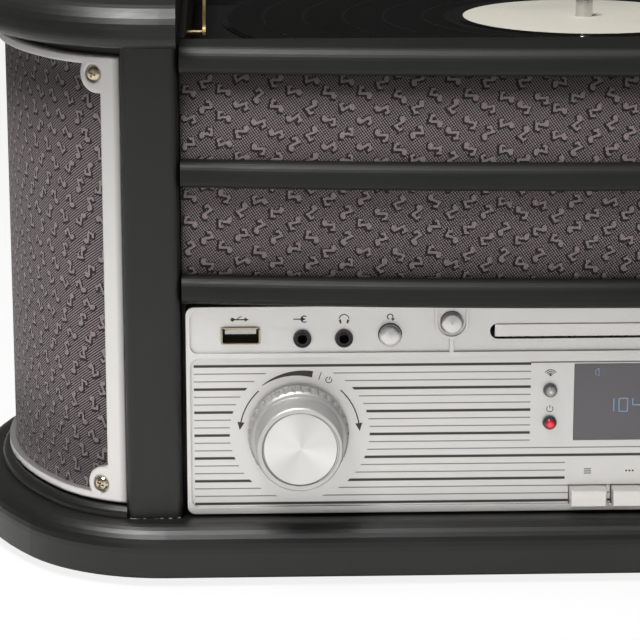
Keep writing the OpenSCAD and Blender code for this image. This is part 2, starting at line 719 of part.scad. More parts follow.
// Mains inlet with two pins, a pair of phono sockets, and the screws of the cover.
module rear_sockets() {
    color(black) translate([inlet[0], 0, inlet[1]]) union() {
        difference() {
            union() {
                to_back(rear_y - 14, rear_y + cover_t + 1) square([22, 14], center = true);
                to_back(rear_y - 3, rear_y - 0.2) square([26, 18], center = true);
            }
            to_back(rear_y - 10, rear_y + cover_t + 2)
                polygon(rounded(-8.5, -4.4, 8.5, 4.4, 4.2, 6));
        }
        for (s = [-1, 1]) rod_y(s * 4.3, 0, 1.1, rear_y - 11, rear_y + 1);
    }
    color(steel) for (x = phono_x) difference() {
        union() {
            rod_y(x, phono_z, 5, rear_y - 2, rear_y + cover_t);
            rod_y(x, phono_z, 4.15, rear_y, rear_y + cover_t + 8);
            rod_y(x, phono_z, 7, rear_y - 3, rear_y - 0.2);
        }
        rod_y(x, phono_z, 1.65, rear_y + cover_t - 2, rear_y + cover_t + 9);
    }
    color(steel) {
        cover_holes(1.5, rear_y + cover_t - 2, rear_y + cover_t + 0.2);
        cover_holes(3, rear_y + cover_t + 0.1, rear_y + cover_t + 1.6);
    }
}

// Two butt hinges: fixed leaves on the rear wall, moving leaves on the lid's rear edge.
knuckle = hinge_l / 3;

module brass_fittings() {
    fixed_leaves();
    stay_pin();
}

module fixed_leaves() color(brassy) for (s = [-1, 1]) translate([s * hinge_x - hinge_l / 2, 0, 0])
    difference() {
        union() {
            translate([0, rear_y, hinge_z - 19]) cube([hinge_l, 1.2, 15]);
            for (x = [0, 2 * knuckle]) {
                translate([x, rear_y, hinge_z - 5]) cube([knuckle - air, 1.2, 5]);
                rod_x(hinge_y, hinge_z, hinge_r, x, x + knuckle - air);
            }
        }
        rod_x(hinge_y, hinge_z, hinge_pin_r + run, -1, hinge_l + 1);
    }

module opened() translate([0, hinge_y, hinge_z]) rotate([-lid_open, 0, 0])
    translate([0, -hinge_y, -hinge_z]) children();

module lid_hinge_leaves() color(brassy) opened() {
    for (s = [-1, 1]) translate([s * hinge_x - hinge_l / 2, 0, 0]) union() {
        translate([0, rear_y, lid_z0 + 3.5]) cube([hinge_l - air, 1.2, 11]);
        translate([knuckle, rear_y, hinge_z]) cube([knuckle - air, 1.2, 5]);
        rod_x(hinge_y, hinge_z, hinge_r, knuckle, 2 * knuckle - air);
        rod_x(hinge_y, hinge_z, hinge_pin_r, -1, hinge_l + 1);
    }
    // Bracket with the headed stud that the stay hangs on.
    translate([stay_x + stay_t / 2 + air, hinge_y - stud_back, 0]) union() {
        head = -stay_t - 2 * air;
        translate([0, -8, lid_z0 - 1.2]) cube([13, 16, 1.2]);
        translate([0, -5, hinge_z - stud_drop - 4]) cube([1.6, 10, stud_drop + 4]);
        rod_x(0, hinge_z - stud_drop, stud_r, head - 0.5, 1);
        rod_x(0, hinge_z - stud_drop, stud_r + 1.4, head - 1.2, head);
    }
}

// Lid: a flat board with a rounded rail along its front that closes down onto the front wall.
module lid_board() color(wood) opened()
    translate([-lid_w, lid_y0 + lid_front_d, lid_z0])
        cube([2 * lid_w, rear_y - lid_y0 - lid_front_d, lid_t]);

module lid_front_rail() color(wood) opened() translate([-lid_w, face_y, 0]) rotate([90, 0, 90])
    mirror([1, 0]) linear_extrude(2 * lid_w)
        polygon(bullnose(lid_front_d - shoulder_overhang, shoulder_overhang, top_z + 0.3, lid_top));

// Slotted brass stay: it hangs on the lid's stud, and its slot runs along a pin in the side wall.
stay_slot_hw = stay_pin_r + 0.5;

module lid_stay() color(brassy) translate([stay_x - stay_t / 2, stud_open[0], stud_open[1]])
    rotate([stay_a + 180, 0, 0]) rotate([90, 0, 90]) linear_extrude(stay_t) difference() {
        polygon(rounded(-7, -stay_hw, stay_reach + 5, stay_hw, stay_hw - 0.1, 6));
        circle(r = stud_r + run);
        polygon(rounded(stay_shut - 3, -stay_slot_hw, stay_reach + 2.1, stay_slot_hw,
            stay_slot_hw - 0.1, 5));
    }

module stay_pin() color(brassy)
    rod_x(stay_y, stay_z, stay_pin_r, -wall_in, stay_x - stay_t / 2 - air);

// Deck plate with the spindle's bearing and the holes for motor, tonearm and speed switch.
module deck_plate() color(black) difference() {
    union() {
        translate([-wall_in + 0.3, grille_back + 0.3, deck_z - deck_t])
            cube([2 * wall_in - 0.6, well_end - grille_back - 0.6, deck_t]);
        translate([-spindle_x, spindle_y, deck_z - 16]) cylinder(r = 8, h = 17.5);
        translate([-spindle_x, spindle_y, deck_z - 1]) cylinder(r = platter_r + 5, h = 1.8);
    }
    translate([-spindle_x, spindle_y, deck_z - 20]) cylinder(r = spindle_r + run, h = 40);
    translate([pulley_x, spindle_y, deck_z - 20]) cylinder(r = 4, h = 40);
    translate([speed_x - 1.6, speed_y - 3, deck_z - 20]) cube([3.2, speed_travel + 6, 40]);
}

module drive_motor() color(steel) translate([pulley_x, spindle_y, deck_z - deck_t - motor_h])
    difference() {
        union() {
            cylinder(r = motor_r, h = motor_h);
            translate([-motor_r - 6, -5, motor_h - 1.5]) cube([2 * motor_r + 12, 10, 1.5]);
        }
        translate([0, 0, 2]) cylinder(r = shaft_r + run, h = motor_h);
    }

// Outline of a belt stretched round two circles of radius R and r, d apart.
function belt(R, r, d) = let (a = acos((R - r) / d))
    concat(arc(0, 0, R, a, 360 - a, 80), arc(d, 0, r, -a, a, 16));

belt_l = drum_r + pulley_r + pulley_gap;
belt_air = air + 0.04;

module drive_belt() color(black) translate([-spindle_x, spindle_y, pulley_z0 + 1.2])
    rotate([0, 0, 180]) linear_extrude(3.5) difference() {
        polygon(belt(drum_r + belt_air + 1, pulley_r + belt_air + 1, belt_l));
        polygon(belt(drum_r + belt_air, pulley_r + belt_air, belt_l));
    }

module motor_pulley() color(brassy) translate([pulley_x, spindle_y, 0]) union() {
    translate([0, 0, pulley_z0]) rotate_extrude() polygon([[0, 0], [pulley_r + 1, 0],
        [pulley_r, 0.8], [pulley_r, 4.9], [pulley_r + 1, 5.7], [0, 5.7]]);
    translate([0, 0, deck_z - deck_t - motor_h + 3]) cylinder(r = shaft_r, h = motor_h + 6);
}

module at_spindle(z = 0) translate([-spindle_x, spindle_y, z]) children();

// Platter: a disc with a deep rim and, beneath it, the drum that the belt runs on.
module platter() color([0.15, 0.15, 0.15]) at_spindle(deck_z) difference() {
    rotate_extrude() polygon([[0, platter_h - 6.5], [9, platter_h - 6.5], [9, platter_h - 2.5],
        [drum_r - 3, platter_h - 2.5], [drum_r - 3, 2.8], [drum_r, 2.8], [drum_r, platter_h - 2.5],
        [platter_r - 3, platter_h - 2.5], [platter_r - 3, 2.2], [platter_r, 2.2],
        [platter_r, platter_h - 1], [platter_r - 1, platter_h], [0, platter_h]]);
    cylinder(r = spindle_r + run, h = 40);
}

module platter_mat() color(black) at_spindle(platter_z) difference() {
    cylinder(r = platter_r - 2, h = mat_t);
    translate([0, 0, -1]) cylinder(r = spindle_r + run, h = 10);
}

module spindle() color(steel) at_spindle(deck_z - 14) rotate_extrude()
    polygon([[0, 0], [spindle_r, 0], [spindle_r, 36.5], [spindle_r - 0.5, 38], [spindle_r - 1.5, 39],
        [0, 39.5]]);

module record() color([0.03, 0.03, 0.03]) at_spindle(record_z) difference() {
    rotate_extrude() polygon([[0, 0], [51, 0], [55, 0.2], [record_r - 3, 0.2], [record_r, 0.6],
        [record_r, 1], [record_r - 3, record_t - 0.2], [55, record_t - 0.2], [51, record_t],
        [0, record_t]]);
    translate([0, 0, -1]) cylinder(r = spindle_r + run, h = 10);
}

module at_arm() translate([arm_x, arm_y, 0]) rotate([0, 0, arm_rest_a]) children();

// Fixed parts of the arm: pivot pillar, parking rest and the bracket of the cueing lever.
rest_l = arm_l - 30;
rest_z = arm_z - arm_r - air;
clip_x = 4.3;

module arm_support() color(black) {
    translate([arm_x, arm_y, 0]) difference() {
        translate([0, 0, deck_z]) rotate_extrude() polygon([[0, 0], [pillar_r + 3, 0],
            [pillar_r + 3, 2], [pillar_r, 4], [pillar_r, 17], [0, 17]]);
        translate([0, 0, deck_z + 2]) cylinder(r = 3 + run, h = 40);
    }
    at_arm() union() {
        translate([0, -rest_l, deck_z]) cylinder(r = 6, h = 2);
        translate([0, -rest_l, deck_z]) cylinder(r = 3, h = rest_z - deck_z - 2);
        translate([-4, -rest_l - 3, rest_z - 3]) cube([clip_x + 4, 6, 3]);
    }
    at_arm() translate([clip_x + 0.02, -rest_l - 3, rest_z - 3]) cube([2.2, 6, 8]);
    difference() {
        translate([cue_x - 6, cue_y - 6, deck_z]) cube([12, 12, cue_z - deck_z + 3]);
        translate([cue_x - 3.3, cue_y - 7, deck_z + 3]) cube([6.6, 14, 30]);
        rod_x(cue_y, cue_z, 1.5 + run, cue_x - 10, cue_x + 10);
    }
}

// Yoke that swings on the pillar and carries the arm's cross pivot.
module arm_gimbal() color(steel) at_arm() difference() {
    union() {
        translate([0, 0, deck_z + 4]) cylinder(r = 3, h = 14);
        translate([0, 0, pillar_z + air]) cylinder(r = 12, h = 2.5);
        for (s = [-1, 1]) translate([s * 9.2 - 1.2, -4, pillar_z + 1]) cube([2.4, 8, 14.5]);
    }
    rod_x(0, arm_z, 1.5 + run, -20, 20);
}

module tonearm() color(silver) at_arm() union() {
    rod_y(0, arm_z, arm_r, -arm_l + 24, 27);
    rod_y(0, arm_z, 9, 17, 37);
    rod_x(0, arm_z, 1.5, -11, 11);
    rod_x(0, arm_z, 5, -6, 6);
}

// Headshell and cartridge in one moulding, with the stylus beneath.
stylus_z = record_top + air;

module cartridge() color(black) at_arm() difference() {
    union() {
        translate([0, -arm_l + 24, 0]) rotate([90, 0, 0]) linear_extrude(34)
            polygon([[-7, arm_z - 4], [7, arm_z - 4], [7, arm_z + 1], [4.5, arm_z + 3.9],
                [-4.5, arm_z + 3.9], [-7, arm_z + 1]]);
        translate([0, -arm_l + 26, arm_z]) rotate([90, 0, 0]) cylinder(r = 4.6, h = 3);
        translate([-5, -arm_l - 5, record_top + 3.5])
            cube([10, 17, arm_z - 3.5 - record_top - 3.5]);
        translate([0, -arm_l, stylus_z]) cylinder(r1 = 0.3, r2 = 1.6, h = 4);
        translate([5.5, -arm_l - 6, arm_z - 3.2]) cube([9, 3, 1.6]);
    }
    rod_y(0, arm_z, arm_r + run, -arm_l + 22.9, 40);
}

module cue_lever() color(silver) translate([cue_x, cue_y, cue_z]) union() {
    rod_x(0, 0, 1.5, -7, 7);
    rod_x(0, 0, 2.6, -3, 3);
    translate([-1.5, -1.2, 1]) cube([3, 2.4, 20]);
    translate([0, 0, 21]) sphere(r = 2.6);
}

module speed_switch() color(silver) translate([speed_x, speed_y, deck_z]) union() {
    translate([-4, -3.5, air]) cube([8, 7, 1.5]);
    translate([-2.5, -1.2, air]) cube([5, 2.4, 6]);
    translate([-1.3, -2, -8]) cube([2.6, 4, 9]);
    translate([-4, -3.5, -deck_t - 2 - air]) cube([8, 7, 2]);
}

// Rotary knobs: a sprung shaft that can be pushed, and on it a turned cap with a notched skirt
// round a sunk, brushed face.
knob_shaft_r = 3;
knob_push = 0.8;
knob_back = -0.9;
notch_count = 36;
band_h = 6;

module knob_shaft(x) color(steel) union() {
    rod_y(x, knob_z, knob_shaft_r, -knob_d + 4.5, board_y - 2.5);
    rod_y(x, knob_z, 3.8, knob_back + air, field_d - air - knob_push);
}

module knob(x) color(silver) translate([x, knob_back, knob_z]) rotate([90, 0, 0]) difference() {
    len = knob_d + knob_back;
    nose = knob_r - 2.85;
    rim = nose - 1.9;
    rotate_extrude() polygon([[0, 0.6], [knob_r - 3, 0.6], [knob_r - 3, 0], [knob_r, 0],
        [knob_r, 0.9], [knob_r - 0.5, band_h], [knob_r - 1.2, band_h + 0.9], [nose + 0.5, band_h + 1.3],
        [nose, len - 0.5], [nose - 0.4, len], [rim, len], [rim, len - 1], [rim - 0.3, len - 1],
        [rim - 0.3, len - 0.7], [0, len - 0.7]]);
    translate([0, 0, -1]) cylinder(r = knob_shaft_r + run, h = len - 3);
    translate([0, 0, -1]) cylinder(r = 4.6, h = 2.4);
    for (i = [0 : notch_count - 1]) rotate([0, 0, (i + 0.5) * 360 / notch_count])
        translate([knob_r + 0.25, 0, 0.9]) cylinder(r = 1.05, h = band_h + 1, $fn = 16);
}

module volume_shaft() knob_shaft(-knob_x);
module volume_knob() knob(-knob_x);
module tuning_shaft() knob_shaft(knob_x);
module tuning_knob() knob(knob_x);

// Sprung dust flap that closes the disc slot from behind.
flap_y = panel_t + 1.8;
flap_z = slot_z + 3.9;
flap_pin_r = 1;
flap_front = 1.6;
flap_t = 1.4;

module disc_flap() color(silver) union() {
    half = slot_w / 2 - 1.8;
    low = slot_z - slot_h / 2 + 0.7;
    high = slot_z + slot_h / 2 - 0.7;
    back = max(flap_front + flap_t, panel_t + air + 0.2);
    translate([-half, 0, 0]) rotate([90, 0, 90]) linear_extrude(2 * half)
        polygon([[flap_front, low], [back, low], [back, high - 1.2], [flap_y, high + 0.7],
            [flap_y, flap_z], [back, flap_z], [back, high], [flap_front, high]]);
    rod_x(flap_y, flap_z, 1.3, -half, half);
    rod_x(flap_y, flap_z, flap_pin_r, -slot_w / 2 - 3.6, slot_w / 2 + 3.6);
}

button_stem = panel_t + key_travel + air - switch_y;

// Round push button: domed cap, a flange behind the panel and a stem to its switch.
module round_button(x, z, r, proud) color(silver) translate([x, panel_t, z]) rotate([90, 0, 0])
    rotate_extrude() polygon(concat([[0, button_stem], [1.5, button_stem], [1.5, -1.4],
        [r + button_lip, -1.4], [r + button_lip, -0.4], [r, -0.4], [r, panel_t + proud - 1.2]],
        arc(r - 1.2, panel_t + proud - 1.2, 1.2, 15, 90, 4), [[0, panel_t + proud + 0.3]]));

module function_button() round_button(function_x, button_z, button_r, 2);
module left_tab_button() round_button(-tab_x, tab_z, tab_button_r, 1.4);
module right_tab_button() round_button(tab_x, tab_z, tab_button_r, 1.4);
module transport_1() round_button(transport_x[0], button_z, button_r, 2);
module transport_2() round_button(transport_x[1], button_z, button_r, 2);
module transport_3() round_button(transport_x[2], button_z, button_r, 2);
module transport_4() round_button(transport_x[3], button_z, button_r, 2);

// Push key: a block with rounded corners, a flange behind the panel and a stem to its switch.
module push_key(i) color(silver) translate([key_x(i), 0, 0]) union() {
    intersection() {
        translate([-key_w / 2, 0, 0]) rotate([90, 0, 90]) linear_extrude(key_w)
            polygon([[-key_d, key_z0 + 0.3], [-key_d + 0.3, key_z0], [panel_t + 1, key_z0],
                [panel_t + 1, key_z1], [0, key_z1], [-key_d + 0.4, key_z0 + key_front_h + 0.2],
                [-key_d, key_z0 + key_front_h - 0.2]]);
        translate([0, 0, key_z0 - 1]) linear_extrude(key_z1 - key_z0 + 2)
            polygon(rounded(-key_w / 2, -key_d, key_w / 2, panel_t + 2, 0.7, 4));
    }
    translate([-key_pitch / 2 + 0.15, panel_t + 0.4, key_z0 - 0.6])
        cube([key_pitch - 0.3, 1, key_z1 - key_z0 + 1.6]);
    translate([-2, panel_t + 1, (key_z0 + key_z1) / 2 - 1.5])
        cube([4, switch_y - key_travel - air - panel_t - 1, 3]);
}

module push_key_1() push_key(0);
module push_key_2() push_key(1);
module push_key_3() push_key(2);
module push_key_4() push_key(3);
module push_key_5() push_key(4);

base_board();
rubber_feet();
carcass();
posts();
shoulders();
pod_baffles();
pod_cloth();
pod_frames();
frame_screws();
speakers();
grille_baffle();
grille_cloth();
grille_rails();
fascia();
display_window();
indicator_lenses();
usb_socket();
audio_jacks();
control_board();
disc_mechanism();
main_board();
mains_transformer();
back_panel();
rear_sockets();
brass_fittings();
deck_plate();
drive_motor();
drive_belt();
arm_support();
lid_board();
lid_front_rail();
lid_hinge_leaves();
lid_stay();
platter();
platter_mat();
spindle();
record();
motor_pulley();
arm_gimbal();
tonearm();
cartridge();
cue_lever();
speed_switch();
volume_shaft();
volume_knob();
tuning_shaft();
tuning_knob();
disc_flap();
function_button();
left_tab_button();
right_tab_button();
push_key_1();
push_key_2();
push_key_3();
push_key_4();
push_key_5();
transport_1();
transport_2();
transport_3();
transport_4();
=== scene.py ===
import math

import bmesh
import bpy
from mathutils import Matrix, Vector


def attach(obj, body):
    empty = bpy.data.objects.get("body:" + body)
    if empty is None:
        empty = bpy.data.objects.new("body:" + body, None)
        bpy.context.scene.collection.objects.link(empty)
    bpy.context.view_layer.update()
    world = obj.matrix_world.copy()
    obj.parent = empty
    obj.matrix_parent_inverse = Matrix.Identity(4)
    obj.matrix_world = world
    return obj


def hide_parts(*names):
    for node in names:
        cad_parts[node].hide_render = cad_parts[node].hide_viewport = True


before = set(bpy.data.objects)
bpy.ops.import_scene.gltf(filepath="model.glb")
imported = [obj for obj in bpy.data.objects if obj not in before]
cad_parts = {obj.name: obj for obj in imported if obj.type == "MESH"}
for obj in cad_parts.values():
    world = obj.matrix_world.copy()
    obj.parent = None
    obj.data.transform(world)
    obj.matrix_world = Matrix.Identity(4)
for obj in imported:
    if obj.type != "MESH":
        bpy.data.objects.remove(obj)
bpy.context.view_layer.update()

# ---------------------------------------------------------------------------
# Studio: a plain pale floor and backdrop, a soft lamp above the left pod, a wider and weaker one
# above the rest, one in front, and the camera close to the left half, looking slightly down.
MM = 0.001
scene = bpy.context.scene
scene.view_settings.view_transform = "Standard"


def add(tree, kind, inputs=(), **settings):
    """A new node, with its properties set and its inputs given as values or as other sockets."""
    made = tree.nodes.new(kind)
    for name, value in settings.items():
        setattr(made, name, value)
    for key, value in dict(inputs).items():
        if isinstance(value, bpy.types.NodeSocket):
            tree.links.new(value, made.inputs[key])
        else:
            made.inputs[key].default_value = value
    return made


def finish(name, **values):
    """A material with one Principled BSDF. Returns the material, its tree and the shader."""
    material = bpy.data.materials.new(name)
    material.use_nodes = True
    shader = material.node_tree.nodes["Principled BSDF"]
    for key, value in values.items():
        shader.inputs[key.replace("_", " ").title().replace("Ior", "IOR")].default_value = value
    return material, material.node_tree, shader


def soft_lamp(name, place, target, width, length, power):
    """A rectangular lamp at a place in metres, turned to a target."""
    data = bpy.data.lights.new(name, "AREA")
    data.shape = "RECTANGLE"
    data.size = width
    data.size_y = length
    data.energy = power
    lamp = bpy.data.objects.new(name, data)
    lamp.location = place
    toward = Vector(target) - Vector(place)
    lamp.rotation_euler = toward.to_track_quat("-Z", "Y").to_euler()
    scene.collection.objects.link(lamp)


camera_data = bpy.data.cameras.new("camera")
camera_data.sensor_width = 36.0
camera_data.lens = 152.12
camera_data.clip_end = 20.0
camera = bpy.data.objects.new("camera", camera_data)
camera.location = (-0.158823, -0.939286, 0.333268)
look_down, look_right = 0.25111, 0.0341
camera.rotation_euler = (math.pi / 2 - look_down, 0.0, -look_right)
scene.collection.objects.link(camera)
scene.camera = camera

# The camera sees plain white, and the object gets only a little of it.
world = bpy.data.worlds.new("studio")
scene.world = world
world.use_nodes = True
sky = world.node_tree
sky.nodes.clear()
sky_light = add(sky, "ShaderNodeBackground", {"Color": (1.0, 0.99, 0.975, 1.0), "Strength": 0.11})
sky_seen = add(sky, "ShaderNodeBackground", {"Color": (1.0, 1.0, 1.0, 1.0), "Strength": 1.0})
sky_mix = add(sky, "ShaderNodeMixShader",
              {0: add(sky, "ShaderNodeLightPath").outputs["Is Camera Ray"],
               1: sky_light.outputs[0], 2: sky_seen.outputs[0]})
add(sky, "ShaderNodeOutputWorld", {"Surface": sky_mix.outputs[0]})

soft_lamp("overhead_left", (-0.43, -0.25, 1.02), (-0.43, -0.25, 0.0), 0.42, 0.74, 14.5)
soft_lamp("overhead_wide", (0.05, 0.0, 1.4), (0.05, 0.0, 0.0), 1.2, 0.8, 3.6)
soft_lamp("front", (-0.25, -1.6, 0.5), (-0.1, 0.0, 0.1), 1.6, 0.5, 2.4)

# The floor lies under the feet, and keeps the shadows in the part that doesn't glow.
floor_z, floor_half, floor_glow = -3.0 * MM, 6.0, 0.86
floor_mesh = bpy.data.meshes.new("floor")
floor_mesh.from_pydata([(x * floor_half, y * floor_half, floor_z)
                        for x, y in ((-1, -1), (1, -1), (1, 1), (-1, 1))], [], [(0, 1, 2, 3)])
floor = bpy.data.objects.new("floor", floor_mesh)
scene.collection.objects.link(floor)
pale_floor, tree, shader = finish("pale_floor", base_color=(0.8, 0.8, 0.79, 1.0), roughness=0.9)
glow = add(tree, "ShaderNodeEmission", {"Color": (1.0, 1.0, 1.0, 1.0), "Strength": 1.0})
share = add(tree, "ShaderNodeMath", {0: add(tree, "ShaderNodeLightPath").outputs["Is Camera Ray"],
                                     1: floor_glow}, operation="MULTIPLY")
floor_mix = add(tree, "ShaderNodeMixShader", {0: share.outputs[0], 1: shader.outputs[0],
                                              2: glow.outputs[0]})
tree.links.new(floor_mix.outputs[0], tree.nodes["Material Output"].inputs["Surface"])
floor_mesh.materials.append(pale_floor)

# ---------------------------------------------------------------------------
# Woodwork: base board, cabinet, posts, shoulders, rails and lid, glued up from boards. Black satin
# paint is sprayed over the wood, so a little of the grain and of the spray's texture shows.


def calc(tree, operation, first, *rest):
    """A Math node's result. More than two values are taken one after the other, as in a sum."""
    if not rest:
        return add(tree, "ShaderNodeMath", {0: first}, operation=operation).outputs[0]
    for value in rest:
        first = add(tree, "ShaderNodeMath", {0: first, 1: value}, operation=operation).outputs[0]
    return first


def plus(tree, *values):
    return calc(tree, "ADD", *values)


def minus(tree, *values):
    return calc(tree, "SUBTRACT", *values)


def times(tree, *values):
    return calc(tree, "MULTIPLY", *values)


def ramp(tree, value, start, end, low=0.0, high=1.0):
    """A value carried over from one range to another, and held at its ends."""
    return add(tree, "ShaderNodeMapRange", {"Value": value, "From Min": start, "From Max": end,
                                            "To Min": low, "To Max": high}).outputs[0]


def blend(tree, amount, low, high):
    """A colour between two others."""
    return add(tree, "ShaderNodeMix", {0: amount, 6: low, 7: high}, data_type="RGBA").outputs[2]


def here(tree):
    """The point on the object, in metres."""
    return add(tree, "ShaderNodeTexCoord").outputs["Object"]


def split(tree, vector):
    return add(tree, "ShaderNodeSeparateXYZ", {0: vector}).outputs


def noise(tree, scale, detail=2.0, point=None):
    """Soft noise from 0 to 1."""
    point = here(tree) if point is None else point
    return add(tree, "ShaderNodeTexNoise", {"Vector": point, "Scale": scale,
                                            "Detail": detail}).outputs["Fac"]


def feed(tree, node, sockets):
    """Links sockets to a node's inputs by name."""
    for name, socket in sockets.items():
        tree.links.new(socket, node.inputs[name])


def relief(tree, shader, height, strength, depth, **normal):
    """Gives the shader a bump, of a depth in millimetres."""
    bump = add(tree, "ShaderNodeBump", {"Height": height, "Strength": strength,
                                        "Distance": depth * MM, **normal})
    feed(tree, shader, {"Normal": bump.outputs[0]})


def new_group(name, inputs, outputs):
    """A shader node group with named sockets. Returns it, its inputs and its output node."""
    group = bpy.data.node_groups.new(name, "ShaderNodeTree")
    kinds = {"F": "NodeSocketFloat", "C": "NodeSocketColor", "V": "NodeSocketVector"}
    for label, (kind, value) in inputs.items():
        socket = group.interface.new_socket(label, in_out="INPUT", socket_type=kinds[kind])
        if value is not None:
            socket.default_value = value
    for label, kind in outputs.items():
        group.interface.new_socket(label, in_out="OUTPUT", socket_type=kinds[kind])
    return (group, group.nodes.new("NodeGroupInput").outputs,
            group.nodes.new("NodeGroupOutput"))


def cover(material, *names):
    """Gives the CAD nodes this material."""
    for name in names:
        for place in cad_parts[name].material_slots:
            place.material = material


# Fine texture of a sprayed, cast or moulded surface: grain along one direction, an even pebble and
# slow patches.
texture_group, given, found = new_group(
    "surface_texture",
    {"Point": ("V", None), "Stretch": ("V", (1.0, 1.0, 1.0)), "Grain": ("F", 900.0),
     "Pebble": ("F", 2500.0)},
    {"Grain": "F", "Pebble": "F", "Patches": "F"})
stretched = add(texture_group, "ShaderNodeVectorMath", {0: given["Point"], 1: given["Stretch"]},
                operation="MULTIPLY").outputs[0]
patch_scale = 14.0
feed(texture_group, found,
     {"Grain": noise(texture_group, given["Grain"], 4.0, stretched),
      "Pebble": noise(texture_group, given["Pebble"], 2.0, given["Point"]),
      "Patches": noise(texture_group, patch_scale, 3.0, given["Point"])})


def textured(tree, grain, pebble=2500.0, stretch=(1.0, 1.0, 1.0)):
    """The fine texture in a material: its grain, pebble and patches."""
    return add(tree, "ShaderNodeGroup", {"Point": here(tree), "Stretch": stretch, "Grain": grain,
                                         "Pebble": pebble}, node_tree=texture_group).outputs


def painted_wood(name, grain_way, rough=0.38, gloss=0.5):
    """Black satin paint over wood, with the grain along one direction."""
    material, tree, shader = finish(name, specular_ior_level=gloss)
    texture = textured(tree, 700.0, 1900.0, grain_way)
    colour = blend(tree, ramp(tree, texture["Patches"], 0.3, 0.7), (0.006, 0.006, 0.0056, 1.0),
                   (0.01, 0.0098, 0.0092, 1.0))
    feed(tree, shader, {"Base Color": colour,
                        "Roughness": ramp(tree, texture["Grain"], 0.3, 0.7, rough - 0.04,
                                          rough + 0.04)})
    height = plus(tree, times(tree, texture["Grain"], 0.6), times(tree, texture["Pebble"], 0.4))
    relief(tree, shader, height, 0.12, 0.2)
    return material, tree, shader, colour


grain_level, grain_upright = (0.06, 1.0, 1.0), (1.0, 1.0, 0.06)
cover(painted_wood("black_paint_on_level_wood", grain_level)[0], "base_board", "carcass",
      "shoulders", "grille_baffle", "lid_board", "lid_front_rail")
cover(painted_wood("duller_black_paint_on_rails", grain_level, 0.5, 0.35)[0], "grille_rails")
cover(painted_wood("black_paint_on_upright_wood", grain_upright)[0], "pod_baffles")

# The posts have the same paint, chipped to the pale ground where they meet the base.
post_paint, tree, shader, colour = painted_wood("black_paint_on_posts", grain_upright)
chips_whole, chips_end = 18.5 * MM, 20.3 * MM
near_base = ramp(tree, split(tree, here(tree))["Z"], chips_whole, chips_end, 1.0, 0.0)
chip = ramp(tree, times(tree, near_base, noise(tree, 420.0, 3.0)), 0.47, 0.51)
feed(tree, shader, {"Base Color": blend(tree, chip, colour, (0.62, 0.6, 0.56, 1.0))})
cover(post_paint, "posts")

# ---------------------------------------------------------------------------
# Plain mouldings inside and behind the cabinet: pressed speaker cones, etched circuit boards, the
# textured deck plate, injection-moulded plastic, and rubber for the feet and the belt.


def moulded(name, low, high, rough, bump=0.1, scale=1600.0):
    """Moulded plastic or rubber with a fine even texture."""
    material, tree, shader = finish(name)
    texture = textured(tree, scale, scale * 1.7)
    feed(tree, shader, {"Base Color": blend(tree, texture["Grain"], low, high),
                        "Roughness": ramp(tree, texture["Patches"], 0.3, 0.7, rough - 0.05,
                                          rough + 0.05)})
    relief(tree, shader, texture["Pebble"], bump, 0.2)
    return material


cover(moulded("speaker_basket_and_cone", (0.02, 0.02, 0.02, 1), (0.05, 0.05, 0.05, 1), 0.6),
      "speakers")
cover(moulded("green_circuit_board", (0.012, 0.07, 0.03, 1), (0.02, 0.11, 0.05, 1), 0.4),
      "control_board", "main_board")
cover(moulded("deck_coating", (0.008, 0.008, 0.008, 1), (0.014, 0.014, 0.0135, 1), 0.42, 0.15),
      "deck_plate")
cover(moulded("black_moulding", (0.014, 0.014, 0.014, 1), (0.024, 0.024, 0.023, 1), 0.5),
      "back_panel", "rear_sockets", "arm_support", "cue_lever", "speed_switch", "cartridge")
cover(moulded("black_rubber", (0.01, 0.01, 0.01, 1), (0.02, 0.02, 0.019, 1), 0.8, 0.2),
      "rubber_feet", "drive_belt")

# ---------------------------------------------------------------------------
# Metal fittings: brass hinges, lid stay and motor pulley, nickel-plated frame screws with a brass
# tint, and plated steel for the works. All are drawn or turned, with fine polishing marks.


def metal(name, low, high, rough, scale, stretch=(1.0, 1.0, 1.0)):
    """Bare or plated metal, polished along one direction."""
    material, tree, shader = finish(name, metallic=1.0)
    texture = textured(tree, scale, 1400.0, stretch)
    feed(tree, shader, {"Base Color": blend(tree, texture["Patches"], low, high),
                        "Roughness": ramp(tree, texture["Grain"], 0.3, 0.7, rough * 0.75,
                                          rough * 1.25)})
    relief(tree, shader, texture["Grain"], 0.1, 0.1)
    return material


cover(metal("yellowed_nickel_screws", (0.5, 0.43, 0.3, 1), (0.62, 0.55, 0.41, 1), 0.2, 1200.0),
      "frame_screws")
cover(metal("worn_brass", (0.2, 0.145, 0.06, 1), (0.34, 0.255, 0.115, 1), 0.36, 900.0,
            (1.0, 0.1, 0.1)), "brass_fittings", "lid_hinge_leaves", "lid_stay", "motor_pulley")
cover(metal("plated_steel", (0.5, 0.5, 0.49, 1), (0.62, 0.61, 0.6, 1), 0.3, 700.0,
            (1.0, 0.1, 1.0)), "disc_mechanism", "drive_motor", "mains_transformer",
      "volume_shaft", "tuning_shaft", "arm_gimbal")

